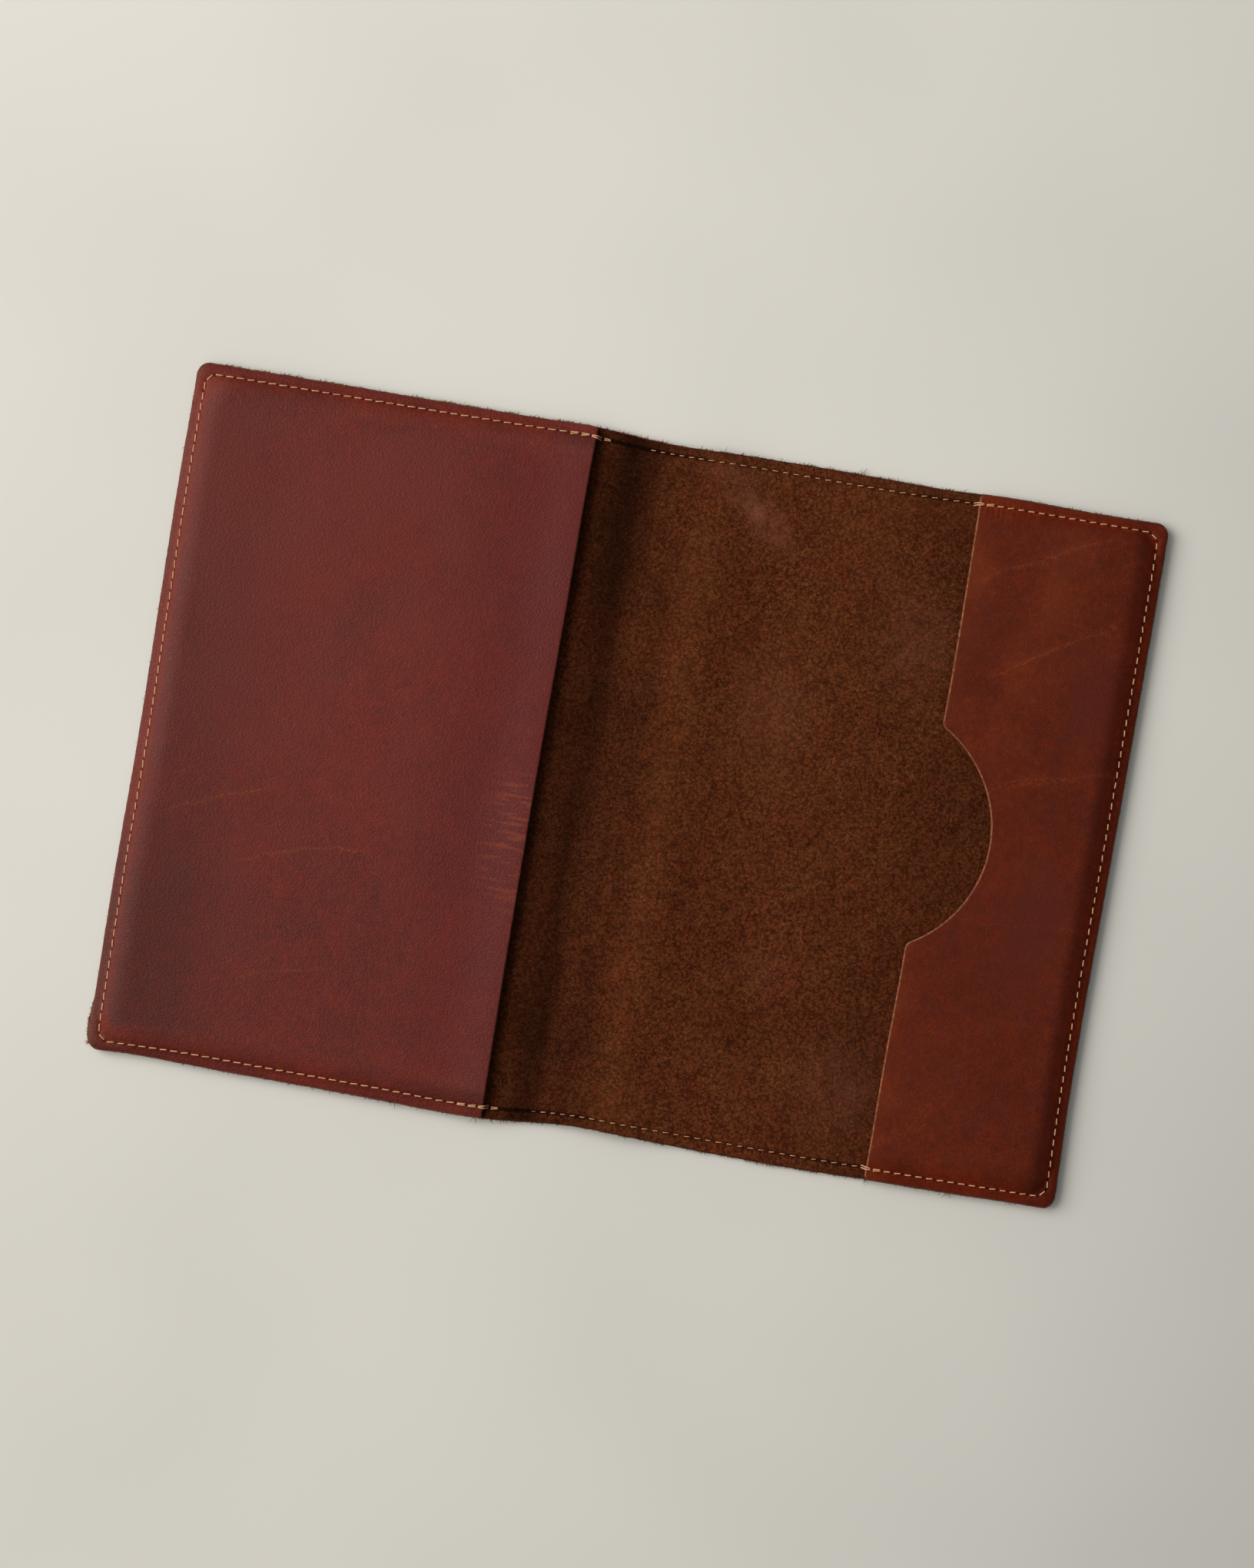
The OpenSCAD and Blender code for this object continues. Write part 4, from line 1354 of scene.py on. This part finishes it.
class WALLET_OT_camera(bpy.types.Operator):
    """Sets the camera straight above the wallet, as the photograph was taken"""

    bl_idname = "wallet.camera"
    bl_label = "Set the Camera"

    def execute(self, context):
        data = bpy.data.cameras.new("camera")
        data.lens, data.sensor_width, data.sensor_fit = CAMERA_LENS, CAMERA_SENSOR, "AUTO"
        data.clip_start, data.clip_end = 0.05, 20.0
        camera = bpy.data.objects.new("camera", data)
        camera.location = (*CAMERA_AIM, CAMERA_HEIGHT)
        camera.rotation_euler = (0, 0, CAMERA_ROLL)
        context.scene.collection.objects.link(camera)
        context.scene.camera = camera
        context.view_layer.update()
        return {"FINISHED"}


class WALLET_OT_covers(bpy.types.Operator):
    """Cuts the cover in two halves that meet in the middle of the spine"""

    bl_idname = "wallet.covers"
    bl_label = "Cut the Cover"

    def execute(self, context):
        suede = suede_finish("suede")
        grain = grain_finish("outer_grain", colours().outer_grain, (0.1, 0.019, 0.011), 0.8, 0.3)
        raw = edge_finish("cover_edge", tone(colours().suede, 0.95))
        for side, body, word in HALVES:
            nodes = (f"{word}_cover", "spine") if side < 0 else (f"{word}_cover",)
            piece = cut_cover(side)
            dress(piece, suede, grain, raw)
            finished(piece, body, "cover_leather", *nodes, blend_to="spine_bend")
        return {"FINISHED"}


class WALLET_OT_pockets(bpy.types.Operator):
    """Cuts and forms the two pockets"""

    bl_idname = "wallet.pockets"
    bl_label = "Form the Pockets"

    def execute(self, context):
        inside = suede_finish("pocket_flesh")
        raw = tuple(colours().raw_edge)
        for (side, body, word), (bloom_and_painted_sheen, pebble, gloss, edge_tone) in zip(HALVES, POCKET_LOOKS):
            name, node = f"{word}_grain", f"{word}_pocket"
            mouth_tone = FRONT_MOUTH_EDGE_PAINTED_SHADE if side < 0 else raw
            piece = cut_pocket(side)
            grain = grain_finish(name, getattr(colours(), name), bloom_and_painted_sheen, pebble, gloss)
            dress(piece, grain, inside, edge_finish(name + "_edge", tone(raw, edge_tone), mouth_tone))
            finished(piece, body, node + "_leather", node)
        return {"FINISHED"}


class WALLET_OT_seams(bpy.types.Operator):
    """Sews the seam round both halves and doubles it at the mouths"""

    bl_idname = "wallet.seams"
    bl_label = "Sew the Seams"

    def execute(self, context):
        thread = thread_finish("thread")
        for side, body, word in HALVES:
            for name, sew, kind in (("seam", sew_inside, "inner"), ("seam_outside", sew_outside, "outer")):
                nodes = [f"{part}_{kind}_thread" for part in ((word, "spine") if side < 0 else (word,))]
                piece = leather_mesh(f"{name}_{word}", *sew(side), {})
                dress(piece, thread)
                finished(piece, body, "thread", *nodes, blend_to="spine_bend")
            piece = leather_mesh(f"tacks_{word}", *tack_ends(side), {})
            dress(piece, thread)
            finished(piece, body, "thread", f"{word}_mouth_tacks")
        return {"FINISHED"}


class WALLET_OT_wear(bpy.types.Operator):
    """Marks rubbed edges, veins, scratches and brushed nap on the leather, and paints highlights, shade, shadows and
    sheen on it
    """

    bl_idname = "wallet.wear"
    bl_label = "Wear the Leather"

    def execute(self, context):
        ground = Ground(*LEATHERS)
        patch, vein = ground.under("brushed_patch"), ground.under("vein")
        write_marks("pocket_front", "wear", front_wear_and_painted_light)
        write_marks("pocket_front", "lines", lines_front)
        write_marks("pocket_back", "wear", back_wear_and_painted_light)
        write_marks("pocket_back", "lines", lambda x, y: lines_back(x, y, vein))
        for name in ("cover_front", "cover_back"):
            write_marks(name, "wear", lambda x, y: suede_wear_and_painted_light(x, y, patch))
        return {"FINISHED"}


class WALLET_OT_fibres(bpy.types.Operator):
    """Grows the nap on the suede and the fuzz along the cut edges"""

    bl_idname = "wallet.fibres"
    bl_label = "Grow the Fibres"

    def execute(self, context):
        nap = fibre_finish("nap", tone(colours().suede, 0.5), tone(colours().suede_tip, 1.1))
        fuzz = fibre_finish("fuzz", (0.055, 0.018, 0.006), (0.34, 0.135, 0.045))
        rng = np.random.default_rng(7)
        for side, body, word in HALVES:
            reach = mouth_of(side) - 0.4 if side < 0 else BACK_MOUTH + 13
            count = int(95 * reach)
            x, y = rng.uniform(0, reach, count), rng.uniform(-EDGE_Y + 0.3, EDGE_Y - 0.3, count)
            if side > 0:
                keep = x < notch_edge(y) - 0.5
                x, y = x[keep], y[keep]
            x = side * x
            roots = np.stack([x, y, suede_height(x, y) - 0.02], -1)
            n = len(x)
            heading, lengths = rng.uniform(0, 2 * math.pi, n), rng.uniform(0.35, 0.95, n)
            radius, lift = rng.uniform(0.022, 0.045, n), rng.uniform(0.08, 0.3, n)
            piece = strand_mesh(
                f"nap_{word}", roots, heading, lengths, radius, lift, rng.uniform(0, 1, n) ** 1.4, rng
            )
            dress(piece, nap)
            finished(piece, body, "cover_leather", blend_to="spine_bend")
            self.edge_fuzz(side, body, word, fuzz, rng)
        return {"FINISHED"}

    def edge_fuzz(self, side, body, word, finish, rng):
        """Short fuzz on the long edges, thick where the suede is bare, with a few longer hairs."""
        rows = []  # x, y and z of each root, heading, length, radius, lift and shade
        outwards = 0 if side > 0 else math.pi
        for edge in (1, -1):
            upwards = edge * math.pi / 2
            for x in np.arange(0.3, EDGE_X - 5, 0.06):
                bare = x < mouth_of(side)
                clump = mottle(x, edge * 5, 2.4, 23 + edge) + 0.7 * mottle(x, edge * 9, 0.7, 29)
                dense = 0.7 if bare else (0.9 if side < 0 and edge > 0 else 0.25)
                if rng.uniform() > dense * (0.4 + 0.9 * clump):
                    continue
                z = rng.uniform(0.2, 1.25) if bare or rng.uniform() < 0.5 else rng.uniform(1.4, 2.5)
                long = rng.uniform(0.15, 0.5) if rng.uniform() < 0.88 else rng.uniform(0.5, 0.85)
                rows.append((
                    side * x, edge * (EDGE_Y - 0.05), z, upwards + rng.normal(0, 1.0), long,
                    rng.uniform(0.06, 0.125), rng.uniform(-0.2, 0.35), rng.uniform() ** 1.3,
                ))
        for x, edge, long, count in LONG_HAIRS:
            if x * side <= 0:
                continue
            for _ in range(count):
                rows.append((
                    x + rng.normal(0, 0.25), edge * (EDGE_Y - 0.1), rng.uniform(0.3, 1.2),
                    edge * math.pi / 2 + rng.normal(0, 0.5), long * rng.uniform(0.7, 1.3), 0.07,
                    rng.uniform(0, 0.3), rng.uniform(0, 0.3),
                ))
        if side < 0:
            spot = Ground("cover_front").under("tuft")
            for _ in range(9):
                rows.append((
                    spot[0] + rng.uniform(0, 0.4), spot[1] + rng.normal(0, 0.16), rng.uniform(0.4, 1.1),
                    outwards + rng.normal(0.12, 0.12), rng.uniform(0.8, 1.25), rng.uniform(0.07, 0.12), 0.1,
                    rng.uniform(0.75, 1.2),
                ))
            for _ in range(70):
                rows.append((
                    0.05 - EDGE_X, rng.uniform(-EDGE_Y + 2, -EDGE_Y + 9.5), rng.uniform(0.3, 1.2),
                    outwards + rng.normal(0, 0.9), rng.uniform(0.15, 0.5), rng.uniform(0.06, 0.12),
                    rng.uniform(-0.1, 0.2), rng.uniform(0.3, 1.1),
                ))
        for y in np.arange(-EDGE_Y + 1, EDGE_Y - 1, 0.5):
            if rng.uniform() < (0.35 if side > 0 else 0.2) * (0.5 + 1.2 * mottle(3, y, 4, 35)):
                rows.append((
                    side * (EDGE_X - 0.02), y, rng.uniform(0.2, 1.2), outwards + rng.normal(0, 0.8),
                    rng.uniform(0.3, 0.85), rng.uniform(0.045, 0.085), rng.uniform(-0.2, 0.2), rng.uniform(0, 0.5),
                ))
        rows = np.array(rows)
        piece = strand_mesh(f"fuzz_{word}", rows[:, :3], *rows[:, 3:].T, rng)
        dress(piece, finish)
        finished(piece, body, "cover_leather", blend_to="spine_bend")


FLOOR_HALF, FLOOR_DROP = 3.0, 0.00002  # half the floor's width, and how far it lies under the wallet, in metres
WINDOW = (-1.025, 0.179, 0.94)  # place of the window's light, in metres
BRIGHT_SIDE = (-0.8, 0.05, 0.6)  # the way from which the room is brightest


class WALLET_OT_stage(bpy.types.Operator):
    """Lays the pale floor and sets the soft light from the left"""

    bl_idname = "wallet.stage"
    bl_label = "Set the Stage"

    def execute(self, context):
        scene = context.scene
        mesh = bpy.data.meshes.new("floor")
        corners = [(x * FLOOR_HALF, y * FLOOR_HALF, 0) for x, y in ((-1, -1), (1, -1), (1, 1), (-1, 1))]
        mesh.from_pydata(corners, [], [(0, 1, 2, 3)])
        floor = bpy.data.objects.new("floor", mesh)
        floor.location.z = -FLOOR_DROP
        scene.collection.objects.link(floor)
        f = finish_of("floor")
        pale = tuple(colours().floor)
        place = f.add("ShaderNodeTexCoord", None, None, 3)
        cloud = f.noise(place, 9.0, 2.0)
        falloff = f.between(f.part(place, 1), -0.2, 0.05, 0.35, 0.0) + f.between(f.part(place, 0), 0.02, 0.2, 0.0, 0.6)
        base = f.mix(f.between(cloud, 0.3, 0.7, 0.0, 0.25) + falloff, pale, tone(pale, 0.75))
        inputs = {"Base Color": base, "Roughness": 0.9, "Specular IOR Level": 0.1}
        shader = f.add("ShaderNodeBsdfPrincipled", None, inputs)
        f.add("ShaderNodeOutputMaterial", None, {"Surface": shader})
        mesh.materials.append(f.owner)

        sky = Finish(bpy.data.worlds.new("studio"))
        way = sky.add("ShaderNodeTexCoord")
        aside = sky.part(way, 1)
        facing = sky.add("ShaderNodeVectorMath", {"operation": "DOT_PRODUCT"}, {0: way, 1: BRIGHT_SIDE}, 1)
        toward = facing - aside * aside * 0.4
        glow = sky.mix(sky.between(toward, -0.3, 1.0), (0.09, 0.09, 0.092), (0.775, 0.78, 0.785))
        room = sky.add("ShaderNodeBackground", None, {"Color": glow, "Strength": 1.0})
        sky.add("ShaderNodeOutputWorld", None, {"Surface": room})
        scene.world = sky.owner

        data = bpy.data.lights.new("window", "AREA")
        data.shape, data.size, data.energy, data.color = "SQUARE", 1.1, 18.5, (1.0, 0.985, 0.945)
        lamp = bpy.data.objects.new("window", data)
        lamp.location = WINDOW
        lamp.rotation_euler = (-Vector(WINDOW)).to_track_quat("-Z", "Y").to_euler()
        scene.collection.objects.link(lamp)
        scene.view_settings.view_transform = "Standard"
        return {"FINISHED"}


# ---- Checks against the photograph ----


def rim_shown(x, y):
    """Where a pocket's upper side shows, from a place on the flat pattern."""
    return shown_at(settle(np.array([x, y, pocket_height(np.array(x), np.array(y))], float)) * MM)


def write_points():
    """Works out how far each thing shows from its image point, but does not keep or show the result."""
    seen = []
    for name in LEATHERS:
        piece = bpy.data.objects[name]
        seen += [shown_at(piece.matrix_world @ v.co) for v in piece.data.vertices]
    (left, top), (right, bottom) = np.min(seen, 0), np.max(seen, 0)
    shown = {"left_x": (left, None), "right_x": (right, None), "top_y": (None, top), "bottom_y": (None, bottom)}
    size = sizes()
    cut = size["corner_r"] * (1 - math.sqrt(0.5))
    for word, up in (("top", 1), ("bottom", -1)):
        for hand, side in (("left", -1), ("right", 1)):
            shown[f"corner_{word}_{hand}"] = rim_shown(side * (EDGE_X - cut), up * (EDGE_Y - cut))
        shown["front_mouth_" + word] = rim_shown(FRONT_MOUTH, up * (EDGE_Y - 0.2))
        shown["back_mouth_" + word] = rim_shown(BACK_MOUTH, up * (EDGE_Y - 0.2))
    rim = [rim_shown(float(notch_edge(np.array(y))), y) for y in np.linspace(-24, 24, 481)]
    for word in ("notch_start", "notch_deepest", "notch_end"):
        shown[word] = min(rim, key=lambda p: math.dist(p, IMAGE_POINTS[word]))
    for word, side in (("seam_left", -1), ("seam_right", 1)):
        seam = [rim_shown(side * (EDGE_X - size["seam_inset"]), y) for y in np.linspace(-66, 66, 400)]
        shown[word] = min(seam, key=lambda p: abs(p[1] - IMAGE_POINTS[word][1]))
    ground = Ground(*LEATHERS)
    for word in ("brushed_patch", "vein", "tuft"):
        shown[word] = shown_at(settle(ground.under(word)) * MM)
    for name, (px, py) in IMAGE_POINTS.items():
        sx, sy = shown[name]
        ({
            "point": [px, py],
            "off": [None if at is None else round(float(got) - at, 2) for at, got in ((px, sx), (py, sy))],
        })


class WALLET_OT_points(bpy.types.Operator):
    """Works out how far each named thing shows from its place in the photograph, but keeps none of it"""

    bl_idname = "wallet.points"
    bl_label = "Check the Image Points"

    def execute(self, context):
        write_points()
        return {"FINISHED"}


STEPS = (
    WALLET_OT_camera, WALLET_OT_covers, WALLET_OT_pockets, WALLET_OT_seams,
    WALLET_OT_wear, WALLET_OT_fibres, WALLET_OT_stage, WALLET_OT_points,
)


class WALLET_PT_panel(bpy.types.Panel):
    """Lists the steps that make the wallet, with its sizes and colours"""

    bl_label = "Passport Wallet"
    bl_idname = "WALLET_PT_panel"
    bl_space_type = "VIEW_3D"
    bl_region_type = "UI"
    bl_category = "Wallet"

    def draw(self, context):
        for group in (context.scene.wallet_sizes, context.scene.wallet_colours):
            for key in group.__annotations__:
                self.layout.prop(group, key)
        for step in STEPS:
            self.layout.operator(step.bl_idname)


CLASSES = (WalletSizes, WalletColours, *STEPS, WALLET_PT_panel)


def register():
    for cls in CLASSES:
        bpy.utils.register_class(cls)
    bpy.types.Scene.wallet_sizes = bpy.props.PointerProperty(type=WalletSizes)
    bpy.types.Scene.wallet_colours = bpy.props.PointerProperty(type=WalletColours)


def unregister():
    del bpy.types.Scene.wallet_colours
    del bpy.types.Scene.wallet_sizes
    for cls in reversed(CLASSES):
        bpy.utils.unregister_class(cls)


def main():
    register()
    for step in STEPS:
        family, name = step.bl_idname.split(".")
        if getattr(getattr(bpy.ops, family), name)() != {"FINISHED"}:
            raise RuntimeError(f"{step.bl_label} did not finish")


if __name__ == "__main__":
    main()
